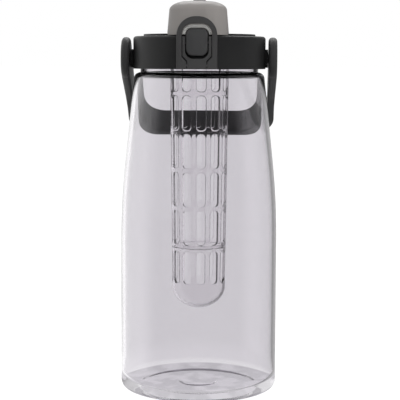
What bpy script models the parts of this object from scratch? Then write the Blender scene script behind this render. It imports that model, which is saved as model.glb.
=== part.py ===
"""A clear infuser jug with a screw lid, a latched flip cap over its spout and a swinging bail handle.

Metres, +Z up. The jug's axis is the Z axis, it stands on z = 0, its latch faces -Y and its handle hangs
behind it, towards +Y. Run it with: blender --background --python part.py
"""

from math import atan2, cos, degrees, pi, radians, sin, sqrt

import bmesh
import bpy
import numpy as np
from mathutils import Matrix, Vector

# Clearances
FIT = 0.0003  # between pieces that touch
RUNNING = 0.0003  # round a pin in its bore
LATCH_PLAY = 0.0004  # round the button and inside the lock loop

# Jug body
BODY_RADIUS = 0.0520
WALL = 0.0026
HEEL_RADIUS = 0.0055
FLOOR_HEIGHT = 0.0058
FLOOR_CORNER = 0.0070
FOOT_WIDTH = 0.0075
UNDERSIDE_RISE = 0.0024
UNDERSIDE_SLOPE = 0.0050
CENTRE_PAD_RADIUS = 0.0090
TAPER_BOTTOM = 0.1265
TAPER_BLEND = 0.0260
SHOULDER_HEIGHT = 0.2073
SHOULDER_RADIUS = 0.0432
NECK_RADIUS = 0.0390

# Screw thread of the neck and the lid
THREAD_STARTS = 3
THREAD_LEAD = 0.018
THREAD_TURN = radians(105)
THREAD_DEPTH = 0.0013
THREAD_BOTTOM = SHOULDER_HEIGHT + 0.0099
THREAD_DROP = 0.0023  # lid thread below neck thread

# Lid collar and the deck inside it
COLLAR_RADIUS = 0.0437
COLLAR_WALL = 0.0029
COLLAR_BOTTOM = SHOULDER_HEIGHT + 0.0064
COLLAR_TOP = COLLAR_BOTTOM + 0.0212
COLLAR_ROUND = 0.0020
COLLAR_LIP = 0.0025
DECK_RADIUS = 0.0369
DECK_TOP = COLLAR_TOP + 0.0014
DECK_THICKNESS = 0.0024
DECK_FLANGE = 0.0025
DECK_RIM_WALL = 0.0024
GASKET_THICKNESS = 0.0015
GASKET_WIDTH = 0.0042
SOCKET_WALL = 0.0020
SOCKET_DEPTH = 0.0125

# Infuser basket and the collar that hangs it in the deck's socket
BASKET_TOP_RADIUS = 0.0197
BASKET_END_RADIUS = 0.0177
BASKET_WALL = 0.0015
BASKET_TIP = 0.0540
BASKET_END_HEIGHT = 0.0145
BASKET_SEAM = BASKET_TIP + 0.0418
SEAM_LIP = 0.0014
SEAM_LIP_WALL = 0.0012
SLOT_COLUMNS = 12
SLOT_ROWS = 5
SLOT_PITCH = 0.0252
SLOT_LENGTH = 0.0223
SLOT_WIDTH = 0.0064
SLOT_BOTTOM = BASKET_SEAM + 0.0024
SLOT_TURN = radians(6)
END_SLOT_BOTTOM = BASKET_TIP + 0.0180
END_SLOT_LENGTH = 0.0213
INFUSER_COLLAR_BOTTOM = COLLAR_BOTTOM + 0.0023
INFUSER_COLLAR_WALL = 0.0026
INFUSER_LIP = 0.0018
BASKET_SEAT = 0.0077  # basket top below collar top
O_RING_THICKNESS = 0.0015
O_RING_DROP = 0.0040

# Spout, its plug and the vent valve
SPOUT_Y = -0.0120
SPOUT_BORE = 0.0060
SPOUT_WALL = 0.0018
SPOUT_HEIGHT = 0.0087
SPOUT_FLANGE = 0.0016
SPOUT_FLANGE_THICKNESS = 0.0013
PLUG_REACH = 0.0016
PLUG_PLAY = 0.0005
PLUG_FLANGE = 0.0018
PLUG_FLANGE_THICKNESS = 0.0015
PLUG_POST = 0.0045
VENT_Y = 0.0170
VENT_HOLE = 0.0025
VENT_HEAD = 0.0042
VENT_HEAD_THICKNESS = 0.0010

# Flip cap
CAP_HALF_WIDTH = 0.0204
CAP_TOP_HALF_WIDTH = 0.0190
CAP_BACK_HALF_WIDTH = 0.0178
CAP_FRONT_Y = -0.0432
CAP_BACK_Y = 0.0297
CAP_TOP = DECK_TOP + 0.0216
CAP_CORNER = 0.0160
CAP_EDGE_HEIGHT = 0.0060
CAP_EDGE_WIDTH = 0.0125
CAP_CROWN = 0.0010
CAP_WALL = 0.0020
CAP_PARTING = 0.0005  # cap lip above collar
TAB_WIDTH = 0.0078
TAB_LENGTH = 0.0150
TAB_RISE = 0.0030
TAB_Y = 0.0020

# Flip cap hinge
HINGE_Y = 0.0325
HINGE_HEIGHT = 0.0028  # axis above deck
KNUCKLE_RADIUS = 0.0025
HINGE_PIN_RADIUS = 0.0010
LUG_INNER_X = 0.0070
LUG_WIDTH = 0.0045

# Latch: housing on the collar's front, lever, button, pin and spring
HOUSING_FRONT = 0.0506
HOUSING_HALF_WIDTH = 0.0091
HOUSING_RAIL = 0.0017
HOUSING_TOP = COLLAR_TOP - 0.0006
HOUSING_CHAMFER_TOP = COLLAR_BOTTOM + 0.0083
HOUSING_CHAMFER_BOTTOM = COLLAR_BOTTOM + 0.0053
STEM_HALF_WIDTH = 0.00615
STEM_BOTTOM = COLLAR_BOTTOM + 0.0002
POCKET_BOTTOM = COLLAR_BOTTOM + 0.0066
POCKET_CORNER = 0.0050
BUTTON_BOTTOM = COLLAR_BOTTOM + 0.0084
BUTTON_TOP = COLLAR_TOP + 0.0042
BUTTON_THICKNESS = 0.0019
BUTTON_CROWN = 0.0008
LEVER_THICKNESS = 0.0015
LEVER_INSET = 0.0007
LEVER_FRONT = 0.0475
LATCH_AXIS_Z = COLLAR_TOP - 0.0044
LATCH_AXIS_Y = -0.0467
LATCH_PIN_RADIUS = 0.0009
LEVER_BARREL = 0.0018
TOOTH_HEIGHT = 0.0014
TOOTH_HALF_WIDTH = 0.0040
WINDOW_SILL = 0.0010
LATCH_SPRING_Z = COLLAR_TOP - 0.0093
LATCH_SPRING_RADIUS = 0.0018
LATCH_SPRING_TURNS = 2.5
SPRING_WIRE = 0.0005
SPRING_POCKET = 0.0012

# Raised lip of the flip cap round the button, and the lock loop in front of it
LIP_FRONT = 0.0472
LIP_TOP = COLLAR_TOP + 0.0068
LIP_THICKNESS = 0.0022
LIP_CORNER = 0.0062
LOOP_HALF_WIDTH = 0.0128
LOOP_TOP = COLLAR_TOP + 0.0119
LOOP_OPENING_TOP = COLLAR_TOP + 0.0073
LOOP_THICKNESS = 0.0035
LOOP_CORNER = 0.0120
LOOP_OPENING_CORNER = 0.0066
LOOP_EDGE = 0.0005
LOOP_CHAMFER_DROP = 0.0006
LOCK_PIN_RADIUS = 0.0008
LOCK_AXIS_Z = COLLAR_BOTTOM + 0.0027
LOCK_AXIS_Y = -0.04915

# Bail handle
PIVOT_HEIGHT = COLLAR_TOP - 0.0144
BOSS_RADIUS = 0.0060
ARM_THICKNESS = 0.0047
ARM_GAP = 0.0019  # from the lid ring's side to the arm
HANDLE_HALF_SPAN = COLLAR_RADIUS + ARM_GAP + ARM_THICKNESS
EYE_SPAN = HANDLE_HALF_SPAN + 0.0010
EYE_ROUND = 0.0026
HANDLE_REACH = 0.0722
GRIP_WIDTH = 0.0186
EYE_RADIUS = 0.0139
HANDLE_CORNER = 0.0180
HANDLE_INNER_CORNER = 0.0200
HANDLE_EDGE = 0.0008
HANDLE_HANG = radians(51.5)
PIVOT_PIN_RADIUS = 0.0030
PIN_HEAD_RADIUS = 0.0065
PIN_HEAD_THICKNESS = 0.0013
PIN_DEPTH = 0.0036

# Facets
BODY_STEPS = 48
ROUND_STEPS = 40
SMALL_STEPS = 16

# Sizes that follow
MOUTH_RADIUS = NECK_RADIUS - WALL
BODY_INNER_RADIUS = BODY_RADIUS - WALL
SHOULDER_ROUND = SHOULDER_RADIUS - NECK_RADIUS
COLLAR_INNER = COLLAR_RADIUS - COLLAR_WALL
LIP_HOLE = DECK_RADIUS + FIT
LIP_UNDERSIDE = COLLAR_TOP - COLLAR_LIP
FLANGE_TOP = LIP_UNDERSIDE - FIT
FLANGE_BOTTOM = FLANGE_TOP - DECK_FLANGE
FLANGE_RADIUS = COLLAR_INNER - FIT
GASKET_TOP = FLANGE_BOTTOM - FIT
RIM_HEIGHT = GASKET_TOP - GASKET_THICKNESS - FIT
DECK_UNDERSIDE = DECK_TOP - DECK_THICKNESS
INFUSER_COLLAR_RADIUS = BASKET_TOP_RADIUS + FIT + INFUSER_COLLAR_WALL
INFUSER_COLLAR_TOP = DECK_UNDERSIDE - FIT
SOCKET_RADIUS = INFUSER_COLLAR_RADIUS + FIT
BASKET_TOP = INFUSER_COLLAR_TOP - BASKET_SEAT
HINGE_Z = DECK_TOP + HINGE_HEIGHT
CAP_BOTTOM = DECK_TOP + FIT
CAP_LIP_BOTTOM = COLLAR_TOP + CAP_PARTING
SPOUT_TOP = DECK_TOP + SPOUT_HEIGHT
SPOUT_RADIUS = SPOUT_BORE + SPOUT_WALL
PLUG_FLANGE_BOTTOM = SPOUT_TOP + FIT
BUTTON_HALF_WIDTH = HOUSING_HALF_WIDTH - HOUSING_RAIL - LATCH_PLAY
LEVER_BOTTOM = BUTTON_BOTTOM + LEVER_INSET
LEVER_TOP = BUTTON_TOP - LEVER_INSET
POCKET_HALF_WIDTH = HOUSING_HALF_WIDTH - HOUSING_RAIL
LOOP_OPENING = HOUSING_HALF_WIDTH + LATCH_PLAY
LOOP_BACK = LIP_FRONT + FIT
LOOP_LEG_INNER = STEM_HALF_WIDTH + LATCH_PLAY
ARM_OUTER = HANDLE_HALF_SPAN
ARM_INNER = ARM_OUTER - ARM_THICKNESS
BOSS_END = ARM_INNER - FIT

FRONT_PLANE = (pi / 2, 0, 0)  # a flat outline's x, y become world x, z
SIDE_PLANE = (pi / 2, 0, pi / 2)  # a flat outline's x, y become world y, z


def clear_scene():
    for obj in list(bpy.data.objects):
        bpy.data.objects.remove(obj, do_unlink=True)


def new_collection(name, hidden=False):
    collection = bpy.data.collections.new(name)
    collection.hide_render = hidden
    bpy.context.scene.collection.children.link(collection)
    return collection


clear_scene()
JUG = new_collection("infuser_jug")
TOOLS = new_collection("cutters", hidden=True)


def material(name, colour, roughness, metallic=0.0, transmission=0.0):
    made = bpy.data.materials.new(name)
    made.use_nodes = True
    shader = made.node_tree.nodes["Principled BSDF"]
    shader.inputs["Base Color"].default_value = (*colour, 1)
    shader.inputs["Roughness"].default_value = roughness
    shader.inputs["Metallic"].default_value = metallic
    shader.inputs["Transmission Weight"].default_value = transmission
    return made


SMOKE = material("smoke_clear", (0.80, 0.78, 0.80), 0.05, transmission=1.0)
CLEAR = material("basket_clear", (0.78, 0.77, 0.79), 0.12, transmission=1.0)
DARK = material("dark_plastic", (0.035, 0.036, 0.038), 0.42)
BUTTON_DARK = material("button_plastic", (0.040, 0.040, 0.042), 0.35)
GREY = material("grey_plastic", (0.24, 0.22, 0.21), 0.40)
SILICONE = material("silicone", (0.62, 0.62, 0.60), 0.60)
STEEL = material("steel", (0.60, 0.60, 0.62), 0.30, metallic=1.0)


def add_object(name, mesh, surface, collection=JUG):
    obj = bpy.data.objects.new(name, mesh)
    mesh.shade_smooth()
    mesh.set_sharp_from_angle(angle=radians(35))
    mesh.materials.clear()
    mesh.materials.append(surface)
    collection.objects.link(obj)
    if collection is TOOLS:
        obj.hide_render = True
        obj.display_type = "WIRE"
    return obj


def mesh_from(fill):
    """A mesh filled by a function of a bmesh."""
    bm = bmesh.new()
    fill(bm)
    mesh = bpy.data.meshes.new("shape")
    bm.to_mesh(mesh)
    bm.free()
    return mesh


def turned(name, profile, surface, steps=ROUND_STEPS, ring=False, at=(0, 0, 0), collection=JUG):
    """A turned piece: the profile is (radius, height) points, down its outer side."""
    count = len(profile)
    edges = [(i, i + 1) for i in range(count - 1)]
    if ring:
        edges.append((count - 1, 0))
    mesh = bpy.data.meshes.new(name)
    mesh.from_pydata([(radius, 0, height) for radius, height in profile], edges, [])
    obj = add_object(name, mesh, surface, collection)
    obj.location = at
    screw = obj.modifiers.new("turn", "SCREW")
    screw.steps = steps
    screw.render_steps = steps
    screw.use_merge_vertices = True
    screw.merge_threshold = 0.00001
    return obj


def meshed(curve_object):
    """The curve as a closed mesh, with its caps welded."""
    graph = bpy.context.evaluated_depsgraph_get()
    mesh = bpy.data.meshes.new_from_object(curve_object.evaluated_get(graph))
    bm = bmesh.new()
    bm.from_mesh(mesh)
    bmesh.ops.remove_doubles(bm, verts=bm.verts, dist=0.000002)
    bmesh.ops.recalc_face_normals(bm, faces=bm.faces)
    bm.to_mesh(mesh)
    bm.free()
    curve = curve_object.data
    bpy.data.objects.remove(curve_object)
    bpy.data.curves.remove(curve)
    return mesh


def curve_object(name, splines, cyclic):
    curve = bpy.data.curves.new(name, "CURVE")
    curve.resolution_u = 1
    for points in splines:
        spline = curve.splines.new("POLY")
        spline.points.add(len(points) - 1)
        for point, place in zip(spline.points, points):
            x, y, *rest = place
            point.co = (x, y, rest[0] if rest else 0, 1)
        spline.use_cyclic_u = cyclic
    obj = bpy.data.objects.new(name, curve)
    bpy.context.scene.collection.objects.link(obj)
    return obj


def plate(name, outline, near, far, plane, surface, edge=0.0, collection=JUG):
    """A flat outline given depth from near to far across its plane, with its edges rounded by edge."""
    obj = curve_object(name, [outline], cyclic=True)
    obj.data.dimensions = "2D"
    obj.data.fill_mode = "BOTH"
    obj.data.extrude = abs(far - near) / 2 - edge
    obj.data.bevel_depth = edge
    obj.data.bevel_resolution = 1
    obj.data.offset = -edge
    made = add_object(name, meshed(obj), surface, collection)
    made.rotation_euler = plane
    middle = (near + far) / 2
    made.location = (middle, 0, 0) if plane == SIDE_PLANE else (0, middle, 0)
    return made


def rod(name, radius, start, end, surface, collection=JUG, steps=SMALL_STEPS):
    """A round bar between two points."""
    start, end = Vector(start), Vector(end)
    length = (end - start).length

    def fill(bm):
        bmesh.ops.create_cone(
            bm,
            cap_ends=True,
            segments=steps,
            radius1=radius,
            radius2=radius,
            depth=length,
        )

    obj = add_object(name, mesh_from(fill), surface, collection)
    obj.location = (start + end) / 2
    obj.rotation_euler = (end - start).to_track_quat("Z", "Y").to_euler()
    return obj


def block(name, low, high, surface, collection=JUG):
    """A box between two corners."""
    low, high = Vector(low), Vector(high)

    def fill(bm):
        bmesh.ops.create_cube(bm, size=1)
        bmesh.ops.scale(bm, vec=high - low, verts=bm.verts)

    obj = add_object(name, mesh_from(fill), surface, collection)
    obj.location = (low + high) / 2
    return obj


def wire(name, points, radius, surface, collection=JUG, resolution=1):
    """A round tube along the points."""
    obj = curve_object(name, [points], cyclic=False)
    obj.data.dimensions = "3D"
    obj.data.bevel_depth = radius
    obj.data.bevel_resolution = resolution
    obj.data.use_fill_caps = True
    return add_object(name, meshed(obj), surface, collection)


def boolean(obj, other, operation):
    modifier = obj.modifiers.new(f"{operation.lower()}_{other.name}", "BOOLEAN")
    modifier.operation = operation
    modifier.solver = "EXACT"
    modifier.object = other


def cut(obj, *others):
    for other in others:
        boolean(obj, other, "DIFFERENCE")


def join(obj, *others):
    for other in others:
        boolean(obj, other, "UNION")


def joint(name, at, *pieces):
    """An empty on a joint's axis that carries its pieces."""
    empty = bpy.data.objects.new(name, None)
    empty.location = at
    empty.empty_display_size = 0.01
    JUG.objects.link(empty)
    for piece in pieces:
        piece.parent = empty
        piece.matrix_parent_inverse = Matrix.Translation(at).inverted()
    return empty


def arc(centre, radius, start, end, count):
    """Points round a centre, from one angle to another in degrees."""
    return [
        (centre[0] + radius * cos(angle), centre[1] + radius * sin(angle))
        for angle in np.linspace(radians(start), radians(end), count)
    ]


def ramp(start, end, count):
    """Points of an S-shaped slope between two profile points."""
    made = []
    for share in np.linspace(0, 1, count):
        rise = (1 - cos(pi * share)) / 2
        made.append(
            (start[0] + (end[0] - start[0]) * share, start[1] + (end[1] - start[1]) * rise)
        )
    return made


def taper_radius(height):
    """The body's outer radius on the straight taper."""
    share = (height - TAPER_BOTTOM) / (SHOULDER_HEIGHT - TAPER_BOTTOM)
    return BODY_RADIUS + (SHOULDER_RADIUS - BODY_RADIUS) * share


def side_profile(inset, count):
    """The body's side from shoulder to heel, moved inwards by inset."""
    corner = (BODY_RADIUS, TAPER_BOTTOM)
    top = (taper_radius(TAPER_BOTTOM + TAPER_BLEND), TAPER_BOTTOM + TAPER_BLEND)
    low = (BODY_RADIUS, TAPER_BOTTOM - TAPER_BLEND)
    blend = []
    for t in np.linspace(0, 1, count):
        radius = (1 - t) ** 2 * top[0] + 2 * t * (1 - t) * corner[0] + t**2 * low[0]
        height = (1 - t) ** 2 * top[1] + 2 * t * (1 - t) * corner[1] + t**2 * low[1]
        blend.append((radius - inset, height))
    shoulder = arc((NECK_RADIUS, SHOULDER_HEIGHT), SHOULDER_ROUND - inset, 90, 0, 5)
    return shoulder + blend


def bottle_profile():
    outer_side = side_profile(0, 5)
    inner_side = side_profile(WALL, 5)
    floor_centre = (BODY_INNER_RADIUS - FLOOR_CORNER, FLOOR_HEIGHT + FLOOR_CORNER)
    inside = [(0, FLOOR_HEIGHT)]
    inside += arc(floor_centre, FLOOR_CORNER, -90, 0, 5)
    inside += inner_side[::-1]
    inside += [
        (MOUTH_RADIUS, SHOULDER_HEIGHT + SHOULDER_ROUND - WALL),
        (MOUTH_RADIUS, RIM_HEIGHT),
    ]
    heel_centre = (BODY_RADIUS - HEEL_RADIUS, HEEL_RADIUS)
    foot_inner = heel_centre[0] - FOOT_WIDTH
    pad_edge = CENTRE_PAD_RADIUS + UNDERSIDE_SLOPE
    outside = [(NECK_RADIUS, RIM_HEIGHT)] + outer_side
    outside += arc(heel_centre, HEEL_RADIUS, 0, -90, 5)
    outside += ramp((foot_inner, 0), (foot_inner - UNDERSIDE_SLOPE, UNDERSIDE_RISE), 3)
    outside += ramp((pad_edge, UNDERSIDE_RISE), (CENTRE_PAD_RADIUS, 0), 3)
    outside.append((0, 0))
    return inside + outside


def thread_ridges(owner, radius, bottom, surface):
    """Helical ridges, half buried in a wall at this radius, joined to their owner."""
    for start in range(THREAD_STARTS):
        first = 2 * pi * start / THREAD_STARTS
        points = []
        for turn in np.linspace(0, THREAD_TURN, 12):
            height = bottom + THREAD_LEAD * turn / (2 * pi)
            points.append((radius * cos(first + turn), radius * sin(first + turn), height))
        ridge = wire(f"{owner.name}_thread_{start + 1}", points, THREAD_DEPTH, surface, TOOLS)
        join(owner, ridge)


def make_bottle():
    bottle = turned("bottle", bottle_profile(), SMOKE, steps=BODY_STEPS)
    thread_ridges(bottle, NECK_RADIUS, THREAD_BOTTOM, SMOKE)
    return bottle


def collar_profile():
    edge = FIT
    return [
        (LIP_HOLE, COLLAR_TOP),
        *arc((COLLAR_RADIUS - COLLAR_ROUND, COLLAR_TOP - COLLAR_ROUND), COLLAR_ROUND, 90, 0, 4),
        (COLLAR_RADIUS, COLLAR_BOTTOM + edge),
        (COLLAR_RADIUS - edge, COLLAR_BOTTOM),
        (COLLAR_INNER, COLLAR_BOTTOM),
        (COLLAR_INNER, LIP_UNDERSIDE),
        (LIP_HOLE, LIP_UNDERSIDE),
    ]


def make_lid_collar():
    collar = turned("lid_collar", collar_profile(), DARK, steps=BODY_STEPS, ring=True)
    thread_ridges(collar, COLLAR_INNER, THREAD_BOTTOM - THREAD_DROP, DARK)
    for side, sign in (("right", 1), ("left", -1)):
        root = sign * (COLLAR_RADIUS - COLLAR_WALL / 2)
        end = sign * BOSS_END
        boss = rod(
            f"boss_{side}", BOSS_RADIUS, (root, 0, PIVOT_HEIGHT), (end, 0, PIVOT_HEIGHT), DARK, TOOLS
        )
        bore = rod(
            f"boss_bore_{side}",
            PIVOT_PIN_RADIUS + RUNNING,
            (end - sign * (PIN_DEPTH + FIT), 0, PIVOT_HEIGHT),
            (end + sign * FIT, 0, PIVOT_HEIGHT),
            DARK,
            TOOLS,
        )
        join(collar, boss)
        cut(collar, bore)
    pocket = rod(
        "latch_spring_pocket",
        LATCH_SPRING_RADIUS + SPRING_WIRE,
        (0, -COLLAR_RADIUS + SPRING_POCKET, LATCH_SPRING_Z),
        (0, -COLLAR_RADIUS - SPRING_POCKET, LATCH_SPRING_Z),
        DARK,
        TOOLS,
    )
    cut(collar, pocket)
    return collar


def deck_profile():
    return [
        (0, DECK_TOP),
        (DECK_RADIUS - FIT, DECK_TOP),
        (DECK_RADIUS, DECK_TOP - FIT),
        (DECK_RADIUS, FLANGE_TOP),
        (FLANGE_RADIUS, FLANGE_TOP),
        (FLANGE_RADIUS, FLANGE_BOTTOM),
        (DECK_RADIUS - DECK_RIM_WALL, FLANGE_BOTTOM),
        (DECK_RADIUS - DECK_RIM_WALL, DECK_UNDERSIDE),
        (SOCKET_RADIUS + SOCKET_WALL, DECK_UNDERSIDE),
        (SOCKET_RADIUS + SOCKET_WALL, DECK_UNDERSIDE - SOCKET_DEPTH),
        (SOCKET_RADIUS, DECK_UNDERSIDE - SOCKET_DEPTH),
        (SOCKET_RADIUS, DECK_UNDERSIDE),
        (0, DECK_UNDERSIDE),
    ]


def hinge_lug_outline():
    """A lug that stands on the deck and rounds over the hinge axis, in y and z."""
    foot = DECK_TOP - DECK_THICKNESS / 2
    top = arc((HINGE_Y, HINGE_Z), KNUCKLE_RADIUS, 0, 180, 9)
    return [(HINGE_Y + KNUCKLE_RADIUS, foot), *top, (HINGE_Y - KNUCKLE_RADIUS, foot)]


def make_lid_deck():
    deck = turned("lid_deck", deck_profile(), DARK)
    for side, sign in (("right", 1), ("left", -1)):
        near = sign * LUG_INNER_X
        far = sign * (LUG_INNER_X + LUG_WIDTH)
        lug = plate(f"lug_{side}", hinge_lug_outline(), near, far, SIDE_PLANE, DARK, collection=TOOLS)
        join(deck, lug)
    through = DECK_THICKNESS
    spout_hole = rod(
        "spout_hole",
        SPOUT_RADIUS,
        (0, SPOUT_Y, DECK_UNDERSIDE - through),
        (0, SPOUT_Y, DECK_TOP + through),
        DARK,
        TOOLS,
        steps=ROUND_STEPS // 2,
    )
    vent_hole = rod(
        "vent_hole",
        VENT_HOLE,
        (0, VENT_Y, DECK_UNDERSIDE - through),
        (0, VENT_Y, DECK_TOP + through),
        DARK,
        TOOLS,
    )
    cut(deck, spout_hole, vent_hole, hinge_bore())
    return deck


def hinge_bore():
    """The cutter of the hinge pin's bore, shared by the deck's lugs and the flip cap's knuckles."""
    if "hinge_bore" in bpy.data.objects:
        return bpy.data.objects["hinge_bore"]
    reach = LUG_INNER_X + 2 * LUG_WIDTH
    return rod(
        "hinge_bore",
        HINGE_PIN_RADIUS + RUNNING,
        (-reach, HINGE_Y, HINGE_Z),
        (reach, HINGE_Y, HINGE_Z),
        DARK,
        TOOLS,
    )


def make_gasket():
    outer = COLLAR_INNER - FIT
    inner = outer - GASKET_WIDTH
    bottom = GASKET_TOP - GASKET_THICKNESS
    profile = [(inner, GASKET_TOP), (outer, GASKET_TOP), (outer, bottom), (inner, bottom)]
    return turned("lid_gasket", profile, SILICONE, ring=True)


def make_spout():
    neck = SPOUT_RADIUS - FIT
    flange = SPOUT_RADIUS + SPOUT_FLANGE
    base = DECK_TOP + FIT
    lip = SPOUT_WALL / 4
    profile = [
        (SPOUT_BORE, SPOUT_TOP),
        (neck - lip, SPOUT_TOP),
        (neck, SPOUT_TOP - lip),
        (neck, base + SPOUT_FLANGE_THICKNESS),
        (flange, base + SPOUT_FLANGE_THICKNESS),
        (flange, base),
        (neck, base),
        (neck, DECK_UNDERSIDE),
        (SPOUT_BORE, DECK_UNDERSIDE),
    ]
    return turned("spout", profile, DARK, steps=ROUND_STEPS // 2, ring=True, at=(0, SPOUT_Y, 0))


def make_spout_plug():
    radius = SPOUT_BORE - PLUG_PLAY
    flange = SPOUT_BORE + PLUG_FLANGE
    top = PLUG_FLANGE_BOTTOM + PLUG_FLANGE_THICKNESS
    profile = [
        (0, top),
        (flange, top),
        (flange, PLUG_FLANGE_BOTTOM),
        (radius, PLUG_FLANGE_BOTTOM),
        (radius - PLUG_PLAY, PLUG_FLANGE_BOTTOM - PLUG_REACH),
        (0, PLUG_FLANGE_BOTTOM - PLUG_REACH),
    ]
    return turned("spout_plug", profile, SILICONE, steps=ROUND_STEPS // 2, at=(0, SPOUT_Y, 0))


def make_vent_valve():
    base = DECK_TOP + FIT
    stem = VENT_HOLE - FIT
    profile = [
        (0, base + VENT_HEAD_THICKNESS),
        (VENT_HEAD, base + VENT_HEAD_THICKNESS),
        (VENT_HEAD, base),
        (stem, base),
        (stem, DECK_UNDERSIDE),
        (0, DECK_UNDERSIDE),
    ]
    return turned("vent_valve", profile, SILICONE, steps=SMALL_STEPS, at=(0, VENT_Y, 0))


def rounded_ring(half_width, front, back, corner, height, per_corner):
    """A rounded rectangle that narrows to its back, at one height, anticlockwise from its right."""
    places = []
    corners = (
        (half_width - corner, back - corner, 0),
        (-half_width + corner, back - corner, 90),
        (-half_width + corner, front + corner, 180),
        (half_width - corner, front + corner, 270),
    )
    for x, y, start in corners:
        for angle in np.linspace(start, start + 90, per_corner):
            turn = radians(angle)
            place_y = y + corner * sin(turn)
            narrowing = (place_y - front) / (back - front) * (1 - CAP_BACK_HALF_WIDTH / CAP_HALF_WIDTH)
            places.append(((x + corner * cos(turn)) * (1 - narrowing), place_y, height))
    return places


def cap_levels():
    """Height and inset of each ring of the cap's dome, from its open edge to its crown."""
    side_top = CAP_TOP - CAP_CROWN - CAP_EDGE_HEIGHT
    draft = CAP_HALF_WIDTH - CAP_TOP_HALF_WIDTH
    levels = [(CAP_LIP_BOTTOM, 0.0), (side_top, draft)]
    for angle in (22, 45, 68, 90):
        turn = radians(angle)
        inset = draft + CAP_EDGE_WIDTH * (1 - cos(turn))
        levels.append((side_top + CAP_EDGE_HEIGHT * sin(turn), inset))
    return levels


def fill_cap_dome(bm):
    """Rings of the cap's outside, then a crowned top that closes on its middle."""
    rings = []
    for height, inset in cap_levels():
        front, back = CAP_FRONT_Y + inset, CAP_BACK_Y - inset
        rings.append(
            rounded_ring(CAP_HALF_WIDTH - inset, front, back, CAP_CORNER - inset, height, 6)
        )
    rim = rings[-1]
    middle_y = (CAP_FRONT_Y + CAP_BACK_Y) / 2
    for share in (0.7, 0.35):
        height = CAP_TOP - CAP_CROWN * share**2
        rings.append([(x * share, middle_y + (y - middle_y) * share, height) for x, y, _ in rim])
    loops = [[bm.verts.new(place) for place in ring] for ring in rings]
    for low, high in zip(loops, loops[1:]):
        for i in range(len(low)):
            after = (i + 1) % len(low)
            bm.faces.new((low[i], low[after], high[after], high[i]))
    bm.faces.new(loops[-1])


def arch_outline(half_width, bottom, top, corner):
    """A slot outline with a flat bottom and a rounded top, in x and z."""
    return [
        (half_width, bottom),
        *arc((half_width - corner, top - corner), corner, 0, 90, 7),
        *arc((-half_width + corner, top - corner), corner, 90, 180, 7),
        (-half_width, bottom),
    ]


def lip_outline():
    """The raised U round the button's top."""
    outer = arch_outline(HOUSING_HALF_WIDTH, CAP_LIP_BOTTOM, LIP_TOP, LIP_CORNER)
    inner = arch_outline(
        POCKET_HALF_WIDTH, CAP_LIP_BOTTOM, LIP_TOP - LIP_THICKNESS, LIP_CORNER - HOUSING_RAIL
    )
    return outer + inner[::-1]


def knuckle_outline():
    """A knuckle round the hinge axis with a web to the cap's back wall, in y and z."""
    root = CAP_BACK_Y - CAP_WALL / 2
    low = CAP_BOTTOM + FIT
    side = sqrt(KNUCKLE_RADIUS**2 - (HINGE_Z - low) ** 2)
    start = -90 + degrees(atan2(side, HINGE_Z - low))
    barrel = arc((HINGE_Y, HINGE_Z), KNUCKLE_RADIUS, start, 90, 9)
    return [(root, low), *barrel, (root, HINGE_Z + KNUCKLE_RADIUS)]


def make_flip_cap():
    cap = add_object("flip_cap", mesh_from(fill_cap_dome), GREY)
    shell = cap.modifiers.new("wall", "SOLIDIFY")
    shell.thickness = CAP_WALL
    shell.offset = -1
    shell.use_even_offset = True
    post = rod(
        "plug_post",
        PLUG_POST,
        (0, SPOUT_Y, PLUG_FLANGE_BOTTOM + PLUG_FLANGE_THICKNESS + FIT),
        (0, SPOUT_Y, CAP_TOP - CAP_WALL / 2 - CAP_CROWN / 2),
        GREY,
        TOOLS,
    )
    embedded = -CAP_FRONT_Y - CAP_WALL / 2
    lip = plate(
        "button_lip", lip_outline(), -embedded, -LIP_FRONT, FRONT_PLANE, GREY, collection=TOOLS
    )
    tab_outline = [
        (TAB_Y - TAB_LENGTH / 2, CAP_TOP - CAP_WALL / 2 - CAP_CROWN / 2),
        (TAB_Y + TAB_LENGTH / 2, CAP_TOP - CAP_WALL / 2 - CAP_CROWN / 2),
        *arc((TAB_Y + TAB_LENGTH / 2 - TAB_RISE, CAP_TOP), TAB_RISE, 0, 90, 5),
        *arc((TAB_Y - TAB_LENGTH / 2 + TAB_RISE, CAP_TOP), TAB_RISE, 90, 180, 5),
    ]
    tab = plate(
        "thumb_tab", tab_outline, -TAB_WIDTH / 2, TAB_WIDTH / 2, SIDE_PLANE, GREY, collection=TOOLS
    )
    deck_room = rod(
        "deck_room",
        LIP_HOLE,
        (0, 0, COLLAR_TOP - CAP_WALL),
        (0, 0, CAP_BOTTOM),
        GREY,
        TOOLS,
        steps=ROUND_STEPS,
    )
    cut(cap, deck_room)
    join(cap, post, lip, tab)
    reach = LUG_INNER_X - FIT
    knuckle = plate(
        "knuckle", knuckle_outline(), -reach, reach, SIDE_PLANE, GREY, collection=TOOLS
    )
    join(cap, knuckle)
    window = block(
        "catch_window",
        (-TOOTH_HALF_WIDTH - LATCH_PLAY, CAP_FRONT_Y - CAP_WALL, CAP_LIP_BOTTOM + WINDOW_SILL),
        (TOOTH_HALF_WIDTH + LATCH_PLAY, CAP_FRONT_Y + 2 * CAP_WALL, LEVER_TOP + LATCH_PLAY),
        GREY,
        TOOLS,
    )
    cut(cap, hinge_bore(), window)
    return cap


def make_hinge_pin():
    reach = LUG_INNER_X + LUG_WIDTH - FIT
    return rod(
        "hinge_pin", HINGE_PIN_RADIUS, (-reach, HINGE_Y, HINGE_Z), (reach, HINGE_Y, HINGE_Z), STEEL
    )


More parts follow.
